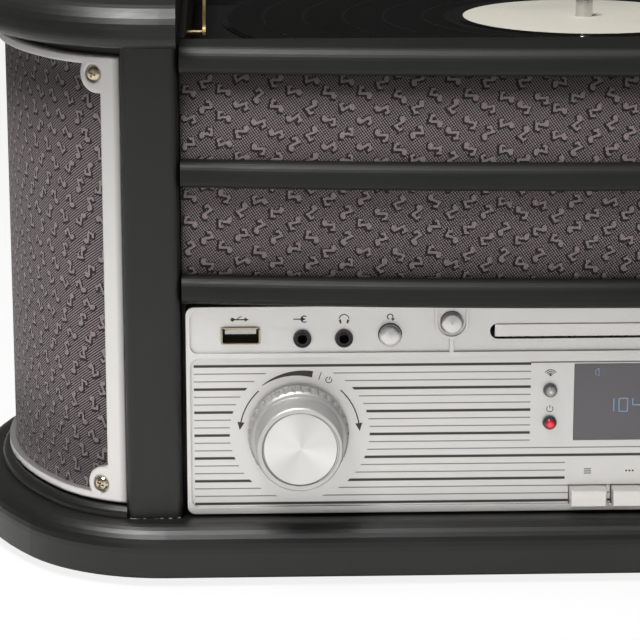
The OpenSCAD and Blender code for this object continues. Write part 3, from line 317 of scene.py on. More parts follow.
# ---------------------------------------------------------------------------
# Speaker cloth: jacquard-woven cloth with small scattered music notes, stretched over the pods and
# behind the front rails, and glued along its edges. On the front it is cut across the roll.
weave, given, woven = new_group(
    "note_jacquard", {"Millimetres": ("V", None), "Beads": ("F", 0.5)},
    {"Color": "C", "Height": "F"})
flat = split(weave, given["Millimetres"])
note_step_x, note_step_y, note_size, stitch = 9.4, 6.2, 1.14, 0.3
down = calc(weave, "DIVIDE", flat["Y"], note_step_y)
row = calc(weave, "FLOOR", down)
odd = calc(weave, "MODULO", calc(weave, "ABSOLUTE", row), 2.0)
row_noise = add(weave, "ShaderNodeTexWhiteNoise", {"W": row}, noise_dimensions="1D")
row_shift = plus(weave, times(weave, odd, 0.5), times(weave, row_noise.outputs["Value"], 0.2))
across = plus(weave, calc(weave, "DIVIDE", flat["X"], note_step_x), row_shift)
column = calc(weave, "FLOOR", across)
cell = add(weave, "ShaderNodeCombineXYZ", {0: column, 1: row}).outputs[0]
cell_noise = add(weave, "ShaderNodeTexWhiteNoise", {"Vector": cell}, noise_dimensions="3D")
dice = add(weave, "ShaderNodeSeparateColor", {0: cell_noise.outputs["Color"]}).outputs
local_x = times(weave, minus(weave, across, column, 0.5), note_step_x)
local_y = times(weave, minus(weave, down, row, 0.5), note_step_y)
# Each note is turned by a small angle, half of them are upside down, and half are mirrored.
mirrored = minus(weave, times(weave, calc(weave, "GREATER_THAN", dice[1], 0.5), 2.0), 1.0)
angle = plus(weave, times(weave, calc(weave, "GREATER_THAN", dice[0], 0.5), math.pi),
             times(weave, minus(weave, dice[2], 0.3), 0.9))
cosine, sine = calc(weave, "COSINE", angle), calc(weave, "SINE", angle)


def box_distance(x, y, centre_x, centre_y, half_x, half_y):
    """Rough distance to a rectangle, negative inside."""
    past_x = minus(weave, calc(weave, "ABSOLUTE", minus(weave, x, centre_x)), half_x)
    past_y = minus(weave, calc(weave, "ABSOLUTE", minus(weave, y, centre_y)), half_y)
    return calc(weave, "MAXIMUM", past_x, past_y)


def note_distance(shift_x, shift_y):
    """Rough distance to the note in this cell, moved by a shift in millimetres."""
    x = calc(weave, "SNAP", minus(weave, local_x, shift_x), stitch)
    y = calc(weave, "SNAP", minus(weave, local_y, shift_y), stitch)
    turned_x = times(weave, mirrored, plus(weave, times(weave, x, cosine), times(weave, y, sine)))
    turned_y = minus(weave, times(weave, y, cosine), times(weave, x, sine))
    turned_x = calc(weave, "DIVIDE", turned_x, note_size)
    turned_y = calc(weave, "DIVIDE", turned_y, note_size)
    slanted_y = plus(weave, turned_y, times(weave, turned_x, 0.25))
    stem = box_distance(turned_x, turned_y, 0.0, 0.2, 0.36, 1.8)
    flag = box_distance(turned_x, slanted_y, 0.95, 1.65, 1.15, 0.38)
    tail = box_distance(turned_x, turned_y, 1.75, 0.9, 0.36, 0.75)
    head_x = calc(weave, "DIVIDE", minus(weave, turned_x, -0.7), 1.05)
    head_y = calc(weave, "DIVIDE", minus(weave, turned_y, -1.4), 0.8)
    head = minus(weave, calc(weave, "SQRT", plus(weave, times(weave, head_x, head_x),
                                                 times(weave, head_y, head_y))), 1.0)
    return calc(weave, "MINIMUM", calc(weave, "MINIMUM", stem, flag),
                calc(weave, "MINIMUM", tail, head))


in_note = calc(weave, "LESS_THAN", note_distance(0.0, 0.0), 0.02)
# The dark edge is widest on the right and below, where the raised threads throw their shadow.
in_edge = times(weave, calc(weave, "LESS_THAN", note_distance(0.3, -0.35), 0.46),
                minus(weave, 1.0, in_note))
# Twill ground: light floats in slanting rows, broken into beads by the dark threads between them.
twill_step, float_step, satin_step, slant = 0.82, 0.84, 0.5, math.radians(35.0)
rows = minus(weave, times(weave, flat["Y"], math.cos(slant)),
             times(weave, flat["X"], math.sin(slant)))
along = plus(weave, times(weave, flat["X"], math.cos(slant)),
             times(weave, flat["Y"], math.sin(slant)))
ridge = calc(weave, "COSINE", times(weave, rows, 2.0 * math.pi / twill_step))
bead = calc(weave, "COSINE", times(weave, along, 2.0 * math.pi / float_step))
slub = noise(weave, 0.9, 3.0, given["Millimetres"])
floats = ramp(weave, plus(weave, ridge, times(weave, bead, given["Beads"]),
                          times(weave, slub, 0.8)), 0.15, 0.95)
satin = calc(weave, "ABSOLUTE", calc(weave, "SINE", times(weave, flat["Y"], math.pi / satin_step)))
ground = blend(weave, floats, (0.011, 0.01, 0.0105, 1.0), (0.264, 0.214, 0.218, 1.0))
raised = blend(weave, satin, (0.172, 0.138, 0.142, 1.0), (0.325, 0.262, 0.27, 1.0))
figured = blend(weave, in_note, ground, raised)
feed(weave, woven,
     {"Color": blend(weave, times(weave, in_edge, 0.95), figured, (0.008, 0.007, 0.008, 1.0)),
      "Height": minus(weave, plus(weave, times(weave, floats, 0.6), times(weave, in_note, 0.5)),
                      times(weave, in_edge, 0.5))})


def jacquard(name, beads, turn):
    """The woven cloth, laid at an angle, with its floats more or less broken into beads."""
    material, tree, shader = finish(name, roughness=0.85, sheen_weight=0.05, sheen_roughness=0.4)
    laid = add(tree, "ShaderNodeUVMap", uv_map="weave").outputs[0]
    laid_mm = add(tree, "ShaderNodeVectorMath", {0: laid, 1: (1000.0, 1000.0, 1000.0)},
                  operation="MULTIPLY").outputs[0]
    turned = add(tree, "ShaderNodeVectorRotate", {"Vector": laid_mm, "Angle": turn},
                 rotation_type="Z_AXIS").outputs[0]
    look = add(tree, "ShaderNodeGroup", {"Millimetres": turned, "Beads": beads},
               node_tree=weave).outputs
    feed(tree, shader, {"Base Color": look["Color"]})
    relief(tree, shader, look["Height"], 0.55, 0.3)
    return material


def cloth_sheet(name, material, path, low, high, rows, *stands_for):
    """A thin upright sheet along a path of plan points, in metres, with a map in true lengths."""
    lengths = [0.0]
    for a, b in zip(path, path[1:]):
        lengths.append(lengths[-1] + math.dist(a, b))
    mesh = bpy.data.meshes.new(name)
    points = [(x, y, low + (high - low) * j / rows) for j in range(rows + 1) for x, y in path]
    wide = len(path)
    faces = [(j * wide + i, j * wide + i + 1, (j + 1) * wide + i + 1, (j + 1) * wide + i)
             for j in range(rows) for i in range(wide - 1)]
    mesh.from_pydata(points, [], faces)
    layer = mesh.uv_layers.new(name="weave")
    for loop in mesh.loops:
        layer.data[loop.index].uv = (lengths[loop.vertex_index % wide],
                                     points[loop.vertex_index][2])
    for face in mesh.polygons:
        face.use_smooth = True
    mesh.materials.append(material)
    sheet = bpy.data.objects.new(name, mesh)
    scene.collection.objects.link(sheet)
    thick = sheet.modifiers.new("thickness", "SOLIDIFY")
    thick.thickness = 0.6 * MM
    thick.offset = -1.0
    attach(sheet, "cabinet")
    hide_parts(*stands_for)


def arc(cx, cy, r, a0, a1, count):
    """Plan points on an arc. Angles run from straight ahead, towards +X."""
    return [((cx + r * math.sin(math.radians(a0 + (a1 - a0) * i / count))) * MM,
             (cy - r * math.cos(math.radians(a0 + (a1 - a0) * i / count))) * MM)
            for i in range(count + 1)]


# A pod's cloth runs round a small front corner, the long side and a small rear corner.
corner_x, corner_y, side_x, side_y = 182.7, 48.0, 124.7, 91.5
corner_end = math.degrees(math.atan2(4, 3))
cloth_in = 2.5
corner_r, side_r = 49.0 - cloth_in, 121.5 - cloth_in
corner_start = math.degrees(math.asin((197.1 - corner_x) / corner_r))
pod_path = (arc(corner_x, corner_y, corner_r, corner_start, corner_end, 14)
            + arc(side_x, side_y, side_r, corner_end, 180 - corner_end, 40)[1:]
            + arc(corner_x, 2 * side_y - corner_y, corner_r, 180 - corner_end,
                  180 - corner_start, 14)[1:])
pod_low, pod_high = 23.2 * MM, 187.6 * MM
pod_weave = jacquard("pod_jacquard", 0.35, 0.0)
cloth_sheet("speaker_cloth_right", pod_weave, pod_path, pod_low, pod_high, 4, "pod_cloth")
cloth_sheet("speaker_cloth_left", pod_weave, [(-x, y) for x, y in reversed(pod_path)],
            pod_low, pod_high, 4, "pod_cloth")

bow_half_width, bow_rise, bow_back, grille_half_width = 176.5, 12.0, 15.0, 176.1
bow_r = (bow_half_width ** 2 + bow_rise ** 2) / (2 * bow_rise)
grille_r = bow_r - 5.5
reach = math.degrees(math.asin(grille_half_width / grille_r))
cloth_sheet("front_grille_cloth", jacquard("front_jacquard", 0.8, math.radians(90.0)),
            arc(0.0, bow_r - bow_back, grille_r, -reach, reach, 60), 101.4 * MM, 181.6 * MM, 3,
            "grille_cloth")

# ---------------------------------------------------------------------------
# Silver mouldings: the pod frames, the disc flap, the buttons and the keys. Satin lacquer with fine
# metal flakes over moulded plastic, whose edges are all a little rounded.


def soft_edges(tree, radius):
    """A normal that rounds edges off by a radius in millimetres."""
    return add(tree, "ShaderNodeBevel", {"Radius": radius * MM}).outputs[0]


def silver_paint(name, rough, metallic, tint=(0.74, 0.725, 0.705, 1.0), edge=0.3):
    """Silver lacquer. Its edges are rounded off by so many millimetres."""
    material, tree, shader = finish(name, metallic=metallic)
    texture = textured(tree, 1600.0, 900.0)
    colour = add(tree, "ShaderNodeMix", {0: 1.0, 6: tint}, data_type="RGBA",
                 blend_type="MULTIPLY")
    tree.links.new(ramp(tree, texture["Grain"], 0.3, 0.7, 0.985, 1.005), colour.inputs[7])
    feed(tree, shader, {"Base Color": colour.outputs[2],
                        "Roughness": ramp(tree, texture["Pebble"], 0.3, 0.7, rough - 0.01,
                                          rough + 0.01)})
    if edge:
        feed(tree, shader, {"Normal": soft_edges(tree, edge)})
    return material, tree, shader, colour.outputs[2]


# A frame's upright strips get painted shade beside the post, where their edge rounds off.
frame_silver, tree, shader, colour = silver_paint("silver_frame_lacquer", 0.3, 0.85,
                                                  (0.74, 0.72, 0.7, 1.0), 1.1)
strip_edge, strip_flat = 197.5 * MM, 199.8 * MM
painted_shade_beside_post = ramp(tree, calc(tree, "ABSOLUTE", split(tree, here(tree))["X"]), strip_edge,
                   strip_flat, 0.72, 0.0)
feed(tree, shader, {"Base Color": blend(tree, painted_shade_beside_post, colour, (0.16, 0.155, 0.15, 1.0))})
cover(frame_silver, "pod_frames")
cover(silver_paint("silver_lacquer", 0.3, 0.85, edge=0.0)[0], "disc_flap", "left_tab_button",
      "right_tab_button")
cover(silver_paint("silver_button_lacquer", 0.26, 0.9, edge=2.4)[0], "function_button",
      "transport_1", "transport_2", "transport_3", "transport_4")
cover(silver_paint("silver_key_lacquer", 0.36, 0.7, (0.86, 0.84, 0.81, 1.0))[0], "push_key_1",
      "push_key_2", "push_key_3", "push_key_4", "push_key_5")

# ---------------------------------------------------------------------------
# Control panel: silver-lacquered moulding, screwed to the cabinet from inside. Dark lines are
# printed across its lower field, broken round each knob, beside the lamps and above the keys.
knob_x, knob_z, clear_ring_r = 134.1, 49.8, 25.4
lamp_x, sensor_z, standby_z, lamp_field_x, lamp_field_z = -43.2, 65.0, 52.8, 50.3, 45.0
key_field_x, key_field_low, key_field_high = 37.2, 30.0, 39.2
line_top, line_step, thick_half, thin_half = 75.0, 8.67, 0.5, 0.2
field_x, field_low, field_high, field_front, field_back = 172.3, 22.2, 75.8, 0.93, 1.1
panel, tree, shader, colour = silver_paint("silver_panel_lacquer", 0.4, 0.6,
                                           (0.81, 0.795, 0.77, 1.0))
point = split(tree, here(tree))
x_mm = times(tree, calc(tree, "ABSOLUTE", point["X"]), 1000.0)
y_mm = times(tree, point["Y"], 1000.0)
z_mm = times(tree, point["Z"], 1000.0)


def under(tree, value, limit):
    return calc(tree, "LESS_THAN", value, limit)


def over(tree, value, limit):
    return calc(tree, "GREATER_THAN", value, limit)


def between(tree, value, low, high):
    return times(tree, over(tree, value, low), under(tree, value, high))


def away_from(tree, x, z):
    """Distance to the middle, from two coordinates."""
    return calc(tree, "SQRT", plus(tree, times(tree, x, x), times(tree, z, z)))


def line_at(tree, z, step, half):
    """1 on lines that lie a step apart, counted down from the top one."""
    place = calc(tree, "DIVIDE", minus(tree, line_top, z), step)
    off = calc(tree, "ABSOLUTE", minus(tree, place, calc(tree, "ROUND", place)))
    return ramp(tree, times(tree, off, step), half - 0.1, half + 0.1, 1.0, 0.0)


lines = calc(tree, "MAXIMUM", line_at(tree, z_mm, line_step, thick_half),
             times(tree, line_at(tree, z_mm, line_step / 3, thin_half), 0.75))
in_field = times(tree, between(tree, z_mm, field_low, field_high), under(tree, x_mm, field_x),
                 between(tree, y_mm, field_front, field_back))
off_lamps = minus(tree, 1.0, times(tree, over(tree, z_mm, lamp_field_z),
                                   under(tree, x_mm, lamp_field_x)))
off_keys = minus(tree, 1.0, times(tree, between(tree, z_mm, key_field_low, key_field_high),
                                  under(tree, x_mm, key_field_x)))
knob_away = away_from(tree, minus(tree, x_mm, knob_x), minus(tree, z_mm, knob_z))
off_knobs = calc(tree, "MAXIMUM", over(tree, knob_away, clear_ring_r),
                 over(tree, z_mm, line_top - 1.0))
top_join = times(tree, between(tree, z_mm, 75.2, 75.75), under(tree, x_mm, lamp_field_x + 0.1),
                 between(tree, y_mm, 0.9, field_back))
printed = calc(tree, "MAXIMUM", times(tree, lines, in_field, off_lamps, off_keys, off_knobs),
               times(tree, top_join, 0.8))
# The steps of the sunk fields and the walls of the openings lie in shade.
step_wall = between(tree, y_mm, 0.08, 0.92)
deep_wall = between(tree, y_mm, field_back, 11.9)
shade = plus(tree, times(tree, step_wall, 0.55), times(tree, deep_wall, 0.85))
shaded = blend(tree, shade, colour, (0.05, 0.049, 0.047, 1.0))
feed(tree, shader, {"Base Color": blend(tree, printed, shaded, (0.035, 0.034, 0.033, 1.0)),
                    "Metallic": times(tree, minus(tree, 1.0, printed), 0.6)})
cover(panel, "fascia")

# ---------------------------------------------------------------------------
# Printed signs: thin dark ink on the panel, and the thicker arrows and wedges round the knobs.
# Each sign is a flat mesh a few hundredths of a millimetre thick, pad-printed on the lacquer.
ink, tree, shader = finish("dark_ink", roughness=0.55)
feed(tree, shader, {"Base Color": blend(tree, noise(tree, 2500.0), (0.03, 0.029, 0.028, 1.0),
                                        (0.055, 0.053, 0.05, 1.0))})


def finish_mesh(name, made, material, body):
    """Turns a built mesh into a piece that rides a body."""
    bmesh.ops.recalc_face_normals(made, faces=made.faces)
    mesh = bpy.data.meshes.new(name)
    made.to_mesh(mesh)
    made.free()
    mesh.materials.append(material)
    piece = bpy.data.objects.new(name, mesh)
    scene.collection.objects.link(piece)
    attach(piece, body)


def flat_shapes(name, shapes, y, material, body, thick=0.05):
    """One mesh from outlines in X and Z, in millimetres, laid on a face at depth y."""
    made = bmesh.new()
    for outline in shapes:
        front = [made.verts.new((x * MM, (y - thick) * MM, z * MM)) for x, z in outline]
        back = [made.verts.new((x * MM, y * MM, z * MM)) for x, z in outline]
        made.faces.new(front)
        made.faces.new(list(reversed(back)))
        for i in range(len(front)):
            k = (i + 1) % len(front)
            made.faces.new((front[k], front[i], back[i], back[k]))
    finish_mesh(name, made, material, body)


def stroke(points, width, end_width=None):
    """Outlines of a line through points, as one quadrilateral for each stretch."""
    end_width = width if end_width is None else end_width
    edges = []
    for i, (x, z) in enumerate(points):
        ax, az = points[max(i - 1, 0)]
        bx, bz = points[min(i + 1, len(points) - 1)]
        length = math.hypot(bx - ax, bz - az)
        half = (width + (end_width - width) * i / (len(points) - 1)) / 2
        nx, nz = -(bz - az) / length * half, (bx - ax) / length * half
        edges.append(((x + nx, z + nz), (x - nx, z - nz)))
    return [[a[0], b[0], b[1], a[1]] for a, b in zip(edges, edges[1:])]


def swing(cx, cz, r, a0, a1, count=24):
    """Points on an arc. Angles are anticlockwise from +X, as seen from the front."""
    return [(cx + r * math.cos(math.radians(a0 + (a1 - a0) * i / count)),
             cz + r * math.sin(math.radians(a0 + (a1 - a0) * i / count)))
            for i in range(count + 1)]


def on_circle(cx, cz, r, angle):
    """One point on a circle."""
    return swing(cx, cz, r, angle, angle, 1)[0]


def spot(cx, cz, r, count=20):
    return [swing(cx, cz, r, 0, 360, count)[:-1]]


def power_sign(cx, cz, size, turn=0.0):
    bar = [on_circle(cx, cz, share * size, 90 + turn) for share in (0.1, 0.62)]
    return stroke(swing(cx, cz, size / 2, 130 + turn, 410 + turn), 0.28) + stroke(bar, 0.28)


# Plug, arrow into a ring, headphones and a turning arrow, above the sockets and the button.
label_z = 92.3
signs = stroke([(-158.0, label_z), (-153.4, label_z)], 0.42)
signs += [[(-152.4, label_z), (-153.8, label_z + 0.8), (-153.8, label_z - 0.8)]]
signs += spot(-158.2, label_z, 0.7)
signs += stroke([(-156.6, label_z), (-155.6, label_z + 1.0), (-154.9, label_z + 1.0)], 0.3)
signs += stroke(swing(-132.4, label_z, 1.15, 50, 310), 0.4)
signs += stroke([(-136.3, label_z), (-132.9, label_z)], 0.4)
signs += [[(-131.9, label_z), (-133.3, label_z + 0.8), (-133.3, label_z - 0.8)]]
signs += stroke(swing(-118.1, label_z - 0.1, 1.7, 5, 175), 0.36)
for s in (-1, 1):
    signs += stroke([(-118.1 + s * 1.5, label_z - 0.3), (-118.1 + s * 1.2, label_z - 1.7)],
                    0.85, 0.6)
signs += stroke(swing(-101.5, label_z + 0.6, 1.0, -40, 250), 0.38)
signs += [[(-99.8, label_z), (-101.3, label_z), (-100.5, label_z - 1.0)]]
# Transport signs on the right: play, stop, back and forward.
signs += [[(100.7, label_z - 1.0), (102.6, label_z), (100.7, label_z + 1.0)]]
signs += [[(118.1, label_z - 0.9), (119.9, label_z - 0.9), (119.9, label_z + 0.9),
           (118.1, label_z + 0.9)]]
for first_x, s in ((137.4, -1), (153.1, 1)):
    for x in (first_x, first_x + 1.6 * s):
        signs += [[(x, label_z - 0.9), (x + 1.5 * s, label_z), (x, label_z + 0.9)]]
    signs += stroke([(first_x + 3.3 * s, label_z - 0.9), (first_x + 3.3 * s, label_z + 0.9)], 0.4)
# Beside the two lamps: waves for the remote sensor, and a power sign.
signs += spot(lamp_x, 70.6, 0.42)
for r in (1.0, 1.7, 2.4):
    signs += stroke(swing(lamp_x, 70.2, r, 35, 145, 12), 0.3)
signs += power_sign(lamp_x, 57.9, 2.3)
# Above the keys: a list, three dots, a tick, back and forward.
key_x, key_step, key_sign_z = 1.9, 15.4, 34.1
list_x, dots_x, tick_x, back_x, forward_x = (key_x + (i - 2) * key_step for i in range(5))
for dz in (-0.8, 0.0, 0.8):
    signs += stroke([(list_x - 1.3, key_sign_z + dz), (list_x + 1.3, key_sign_z + dz)], 0.32)
for dx in (-1.2, 0.0, 1.2):
    signs += spot(dots_x + dx, key_sign_z, 0.36)
signs += stroke([(tick_x - 1.5, key_sign_z), (tick_x - 0.4, key_sign_z - 1.0),
                 (tick_x + 1.5, key_sign_z + 1.1)], 0.36)
for x, s in ((back_x, -1), (forward_x, 1)):
    signs += [[(x + 1.0 * s, key_sign_z), (x - 0.7 * s, key_sign_z + 1.0),
               (x - 0.7 * s, key_sign_z - 1.0)]]
# Round each knob: an arrow on each side, a wedge that grows to the right, a bar and a power sign.
arrow_r, wedge_r = 21.7, 22.4
for x in (-knob_x, knob_x):
    for a0, a1, tip in ((133, 169, 173), (47, 9, 5)):
        signs += stroke(swing(x, knob_z, arrow_r, a0, a1), 0.45)
        px, pz = on_circle(x, knob_z, arrow_r, a1)
        tx, tz = on_circle(x, knob_z, arrow_r, tip)
        size = math.hypot(tx - px, tz - pz)
        ux, uz = (tx - px) / size, (tz - pz) / size
        signs += [[(px + ux * 3.0, pz + uz * 3.0), (px - uz * 1.3, pz + ux * 1.3),
                   (px + uz * 1.3, pz - ux * 1.3)]]
    signs += stroke(swing(x, knob_z, wedge_r, 127, 78, 30), 0.25, 2.4)
    signs += stroke([on_circle(x, knob_z, 20.9, 71), on_circle(x, knob_z, 24.0, 71)], 0.28)
    signs += power_sign(*on_circle(x, knob_z, wedge_r, 62), 2.2, -28)
flat_shapes("printed_signs", signs, 1.0, ink, "cabinet")

# ---------------------------------------------------------------------------
# Rotary knobs: spun aluminium caps pushed on their shafts. The face is brushed in circles and
# carries a painted highlight in a fan; the sunk groove round it has painted shade, the rim a
# painted highlight, and the notched skirt is satin.
face_r, groove_in_r, groove_out_r, rim_r = 13.3 * MM, 13.18 * MM, 13.62 * MM, 13.5 * MM
face_y, groove_y, rim_y, ring_rate = -19.6 * MM, -19.3 * MM, -20.3 * MM, 4200.0
for name, x in (("volume_knob", -knob_x), ("tuning_knob", knob_x)):
    spun, tree, shader = finish(name + "_spun_metal_with_painted_light", metallic=0.75)
    axis = split(tree, add(tree, "ShaderNodeVectorMath", {0: here(tree),
                                                          1: (-x * MM, 0.0, -knob_z * MM)},
                           operation="ADD").outputs[0])
    away = away_from(tree, axis["X"], axis["Z"])
    circles = add(tree, "ShaderNodeCombineXYZ", {0: times(tree, away, ring_rate)}).outputs[0]
    rings = noise(tree, 1.0, 3.0, circles)
    on_face = times(tree, under(tree, axis["Y"], face_y), under(tree, away, face_r))
    in_groove = times(tree, under(tree, axis["Y"], groove_y),
                      between(tree, away, groove_in_r, groove_out_r))
    on_rim = times(tree, under(tree, axis["Y"], rim_y), over(tree, away, rim_r))
    turn = calc(tree, "ARCTAN2", axis["Z"], axis["X"])
    # The face gets a painted highlight in a fan, the rim a painted highlight and the groove painted
    # shade.
    painted_fan_parts = [plus(tree, times(tree, calc(tree, "COSINE", plus(tree, times(tree, turn, blades),
                                                             start)), 0.5), 0.5)
            for blades, start in ((2.0, 0.7), (5.0, 2.0))]
    painted_fan_highlight = plus(tree, times(tree, painted_fan_parts[0], 0.7), times(tree, painted_fan_parts[1], 0.3))
    tone_and_painted_light = plus(tree, 0.5, times(tree, on_face, plus(tree, 0.15, times(tree, painted_fan_highlight, 0.2))),
                  times(tree, rings, 0.08), times(tree, on_rim, 0.1))
    tone_and_painted_light = minus(tree, tone_and_painted_light, times(tree, in_groove, 0.2))
    tint = add(tree, "ShaderNodeMix", {0: 1.0, 6: (1.0, 0.985, 0.96, 1.0)}, data_type="RGBA",
               blend_type="MULTIPLY")
    tree.links.new(tone_and_painted_light, tint.inputs[7])
    feed(tree, shader, {"Base Color": tint.outputs[2],
                        "Roughness": plus(tree, minus(tree, 0.44, times(tree, on_face, 0.14)),
                                          times(tree, rings, 0.12))})
    relief(tree, shader, rings, 0.1, 0.1, Normal=soft_edges(tree, 0.3))
    cover(spun, name)

# ---------------------------------------------------------------------------
# Sockets in the panel: a folded steel shell with a brass tint, painted shade inside it, two springs
# and a white tongue, and two round jacks with black moulded plastic nuts.
shell, tree, shader = finish("socket_shell")
shell_x, shell_z, tongue_half, spring_half = -155.3 * MM, 86.4 * MM, 5.7, 5.2
inner_half_w, inner_half_h, inner_front = 6.6, 2.75, 1.3
point = split(tree, here(tree))
x_mm = times(tree, minus(tree, point["X"], shell_x), 1000.0)
y_mm = times(tree, point["Y"], 1000.0)
z_mm = times(tree, minus(tree, point["Z"], shell_z), 1000.0)
side_mm = calc(tree, "ABSOLUTE", x_mm)
on_tongue = times(tree, under(tree, side_mm, tongue_half), between(tree, z_mm, 0.35, 2.15),
                  between(tree, y_mm, 1.5, 11.2))
inner = times(tree, under(tree, side_mm, inner_half_w),
              under(tree, calc(tree, "ABSOLUTE", z_mm), inner_half_h),
              over(tree, y_mm, inner_front))
spring_step = add(tree, "ShaderNodeMath", {0: x_mm, 1: 1.25, 2: -1.25}, operation="WRAP")
springs = times(tree, inner, under(tree, calc(tree, "ABSOLUTE", spring_step.outputs[0]), 0.5),
                between(tree, z_mm, -2.3, -1.0), under(tree, side_mm, spring_half))
scuffed = textured(tree, 1500.0)["Grain"]
plate = blend(tree, scuffed, (0.42, 0.35, 0.22, 1.0), (0.66, 0.6, 0.48, 1.0))
# Inside the shell the plate is painted nearly black, painted shade in the socket's depth.
plate_and_painted_shade = blend(tree, times(tree, inner, 0.9), plate, (0.03, 0.026, 0.018, 1.0))
plate_and_painted_shade = blend(tree, times(tree, springs, 0.7), plate_and_painted_shade, (0.3, 0.25, 0.16, 1.0))
feed(tree, shader, {"Base Color": blend(tree, on_tongue, plate_and_painted_shade, (0.8, 0.79, 0.76, 1.0)),
                    "Metallic": minus(tree, 1.0, on_tongue),
                    "Roughness": plus(tree, 0.28, times(tree, scuffed, 0.15))})
cover(shell, "usb_socket")
cover(moulded("black_socket_plastic", (0.012, 0.012, 0.012, 1), (0.028, 0.027, 0.026, 1), 0.35),
      "audio_jacks")

# ---------------------------------------------------------------------------
# Lamps: two 5 mm lenses of cast resin. The upper one is the clear window of the remote sensor, with
# a painted highlight in its middle; the lower one is the lit red standby lamp, and both are darker
# round the rim.
lens, tree, shader = finish("lamp_lenses", roughness=0.12, coat_weight=0.6, coat_roughness=0.08,
                            emission_strength=0.9)
point = split(tree, here(tree))
z_mm = times(tree, point["Z"], 1000.0)
is_red = under(tree, z_mm, (sensor_z + standby_z) / 2)
centre_z = plus(tree, sensor_z, times(tree, is_red, standby_z - sensor_z))
away = away_from(tree, times(tree, minus(tree, point["X"], lamp_x * MM), 1000.0),
                 minus(tree, z_mm, centre_z))
rim = ramp(tree, away, 1.35, 2.1)
core = ramp(tree, away, 0.2, 1.5, 1.0, 0.0)
red_lens = blend(tree, rim, (0.5, 0.008, 0.02, 1.0), (0.045, 0.04, 0.045, 1.0))
clear_lens = blend(tree, rim, (0.4, 0.41, 0.36, 1.0), (0.1, 0.11, 0.12, 1.0))
# The white spot in the middle of the clear lens is a painted highlight.
clear_lens = blend(tree, calc(tree, "POWER", core, 3.0), clear_lens, (0.95, 0.95, 0.9, 1.0))
feed(tree, shader, {"Base Color": blend(tree, is_red, clear_lens, red_lens),
                    "Emission Color": blend(tree, times(tree, core, is_red),
                                            (0.0, 0.0, 0.0, 1.0), (1.0, 0.05, 0.1, 1.0))})
cover(lens, "indicator_lenses")

# ---------------------------------------------------------------------------
# Display: a smoked plastic window, clipped in from behind, with pale blue segments lit behind it: a
# small sound sign and a plain number.
smoked, tree, shader = finish("smoked_window", roughness=0.22, coat_weight=0.4,
                              coat_roughness=0.1)
feed(tree, shader, {"Base Color": blend(tree, noise(tree, 30.0), (0.118, 0.107, 0.118, 1.0),
                                        (0.138, 0.128, 0.138, 1.0))})
cover(smoked, "display_window")

segment_glow, tree, shader = finish("pale_blue_segments", roughness=0.4,
                                    base_color=(0.1, 0.16, 0.23, 1.0), emission_strength=0.62)
feed(tree, shader, {"Emission Color": blend(tree, noise(tree, 900.0), (0.14, 0.24, 0.37, 1.0),
                                            (0.17, 0.28, 0.43, 1.0))})
bar_ends = {"a": ((0, 2), (1, 2)), "b": ((1, 2), (1, 1)), "c": ((1, 1), (1, 0)),
            "d": ((0, 0), (1, 0)), "e": ((0, 1), (0, 0)), "f": ((0, 2), (0, 1)),
            "g": ((0, 1), (1, 1))}
lit_bars = {"1": "bc", "0": "abcdef", "4": "fgbc", "5": "afgcd"}
digit_w, digit_h, digit_step, point_gap = 3.1, 4.9, 5.0, 2.0
first_digit_x, digit_z = -23.0, 56.7
characters = []
for i, number in enumerate("10450"):
    x = first_digit_x + i * digit_step + (point_gap if i > 2 else 0.0)
    for bar in lit_bars[number]:
        characters += stroke([(x + ax * digit_w, digit_z + az * digit_h / 2)
                              for ax, az in bar_ends[bar]], 0.45)
characters += spot(first_digit_x + 3 * digit_step + 0.1, digit_z, 0.35)
characters += stroke([(-25.6, 73.0), (-26.8, 72.2), (-26.8, 70.8), (-25.6, 70.0),
                      (-25.6, 73.0)], 0.26)
flat_shapes("display_segments", characters, 0.9, segment_glow, "cabinet", 0.04)

# ---------------------------------------------------------------------------
# Platter, mat, spindle and tonearm: a dark turned platter under a ribbed rubber mat, a polished
# steel spindle pressed into it, and a polished arm tube.
cover(metal("dark_turned_platter", (0.1, 0.1, 0.1, 1), (0.16, 0.16, 0.155, 1), 0.38, 900.0),
      "platter")
cover(moulded("ribbed_mat_rubber", (0.01, 0.01, 0.01, 1), (0.02, 0.02, 0.02, 1), 0.75, 0.3),
      "platter_mat")
cover(metal("polished_steel", (0.62, 0.61, 0.59, 1), (0.72, 0.71, 0.69, 1), 0.16, 1500.0),
      "spindle")
cover(metal("arm_tube_metal", (0.62, 0.61, 0.6, 1), (0.74, 0.73, 0.71, 1), 0.18, 1300.0,
            (1.0, 0.1, 1.0)), "tonearm")

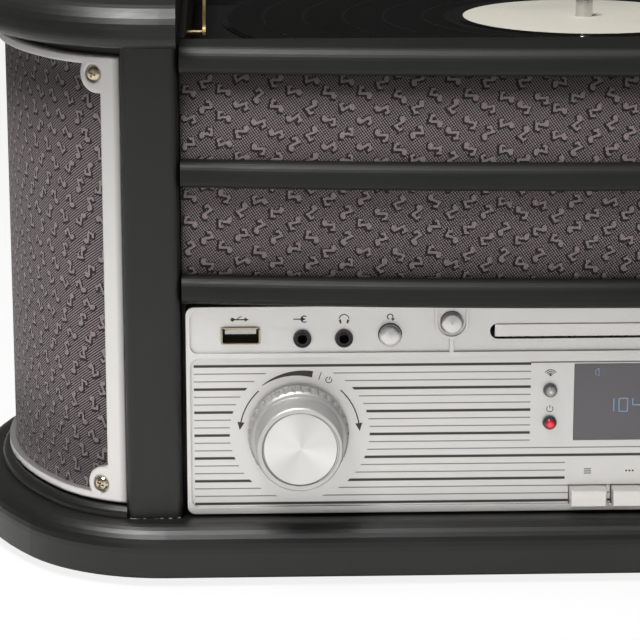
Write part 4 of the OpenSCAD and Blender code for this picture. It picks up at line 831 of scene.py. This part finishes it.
# ---------------------------------------------------------------------------
# Record: pressed black disc with fine grooves in bands, laid on the mat, and a plain cream paper
# label that is pressed on with it.
vinyl, tree, shader = finish("pressed_record")
middle_x, middle_y = -12.0, 168.5
axis = split(tree, add(tree, "ShaderNodeVectorMath", {0: here(tree),
                                                      1: (-middle_x * MM, -middle_y * MM, 0.0)},
                       operation="ADD").outputs[0])
away = times(tree, away_from(tree, axis["X"], axis["Y"]), 1000.0)
groove_step, band_step, band_gap = 0.7, 16.5, 1.3
groove = calc(tree, "SINE", times(tree, away, 2 * math.pi / groove_step))
is_gap = under(tree, calc(tree, "MODULO", away, band_step), band_gap)
in_band = times(tree, between(tree, away, 58.0, 147.0), minus(tree, 1.0, is_gap))
drift = noise(tree, 0.35, 4.0, add(tree, "ShaderNodeCombineXYZ", {0: away}).outputs[0])
feed(tree, shader, {"Base Color": blend(tree, drift, (0.003, 0.003, 0.003, 1.0),
                                        (0.007, 0.007, 0.0068, 1.0)),
                    "Roughness": plus(tree, 0.12, times(tree, in_band, 0.16))})
relief(tree, shader, times(tree, groove, in_band), 0.2, 0.04)
cover(vinyl, "record")

paper, tree, shader = finish("cream_label_paper", roughness=0.62)
fibre = blend(tree, noise(tree, 700.0, 5.0), (0.53, 0.505, 0.435, 1.0), (0.62, 0.595, 0.52, 1.0))
stain = ramp(tree, noise(tree, 22.0, 4.0), 0.55, 0.75, 0.0, 0.35)
feed(tree, shader, {"Base Color": blend(tree, stain, fibre, (0.4, 0.38, 0.32, 1.0))})
label_r, hole_r, label_bottom, label_t, label_sides = 50.0, 3.7, 177.5, 0.12, 96
made = bmesh.new()
loops = []
for r, up in ((hole_r, 0.0), (label_r, 0.0), (label_r, label_t * 0.6), (label_r - 0.3, label_t),
              (hole_r, label_t)):
    loops.append([made.verts.new((x * MM, y * MM, (label_bottom + up) * MM))
                  for x, y in swing(middle_x, middle_y, r, 0, 360, label_sides)[:-1]])
for a, b in zip(loops, loops[1:] + loops[:1]):
    for i in range(label_sides):
        k = (i + 1) % label_sides
        made.faces.new((a[i], a[k], b[k], b[i]))
finish_mesh("record_label", made, paper, "turntable")
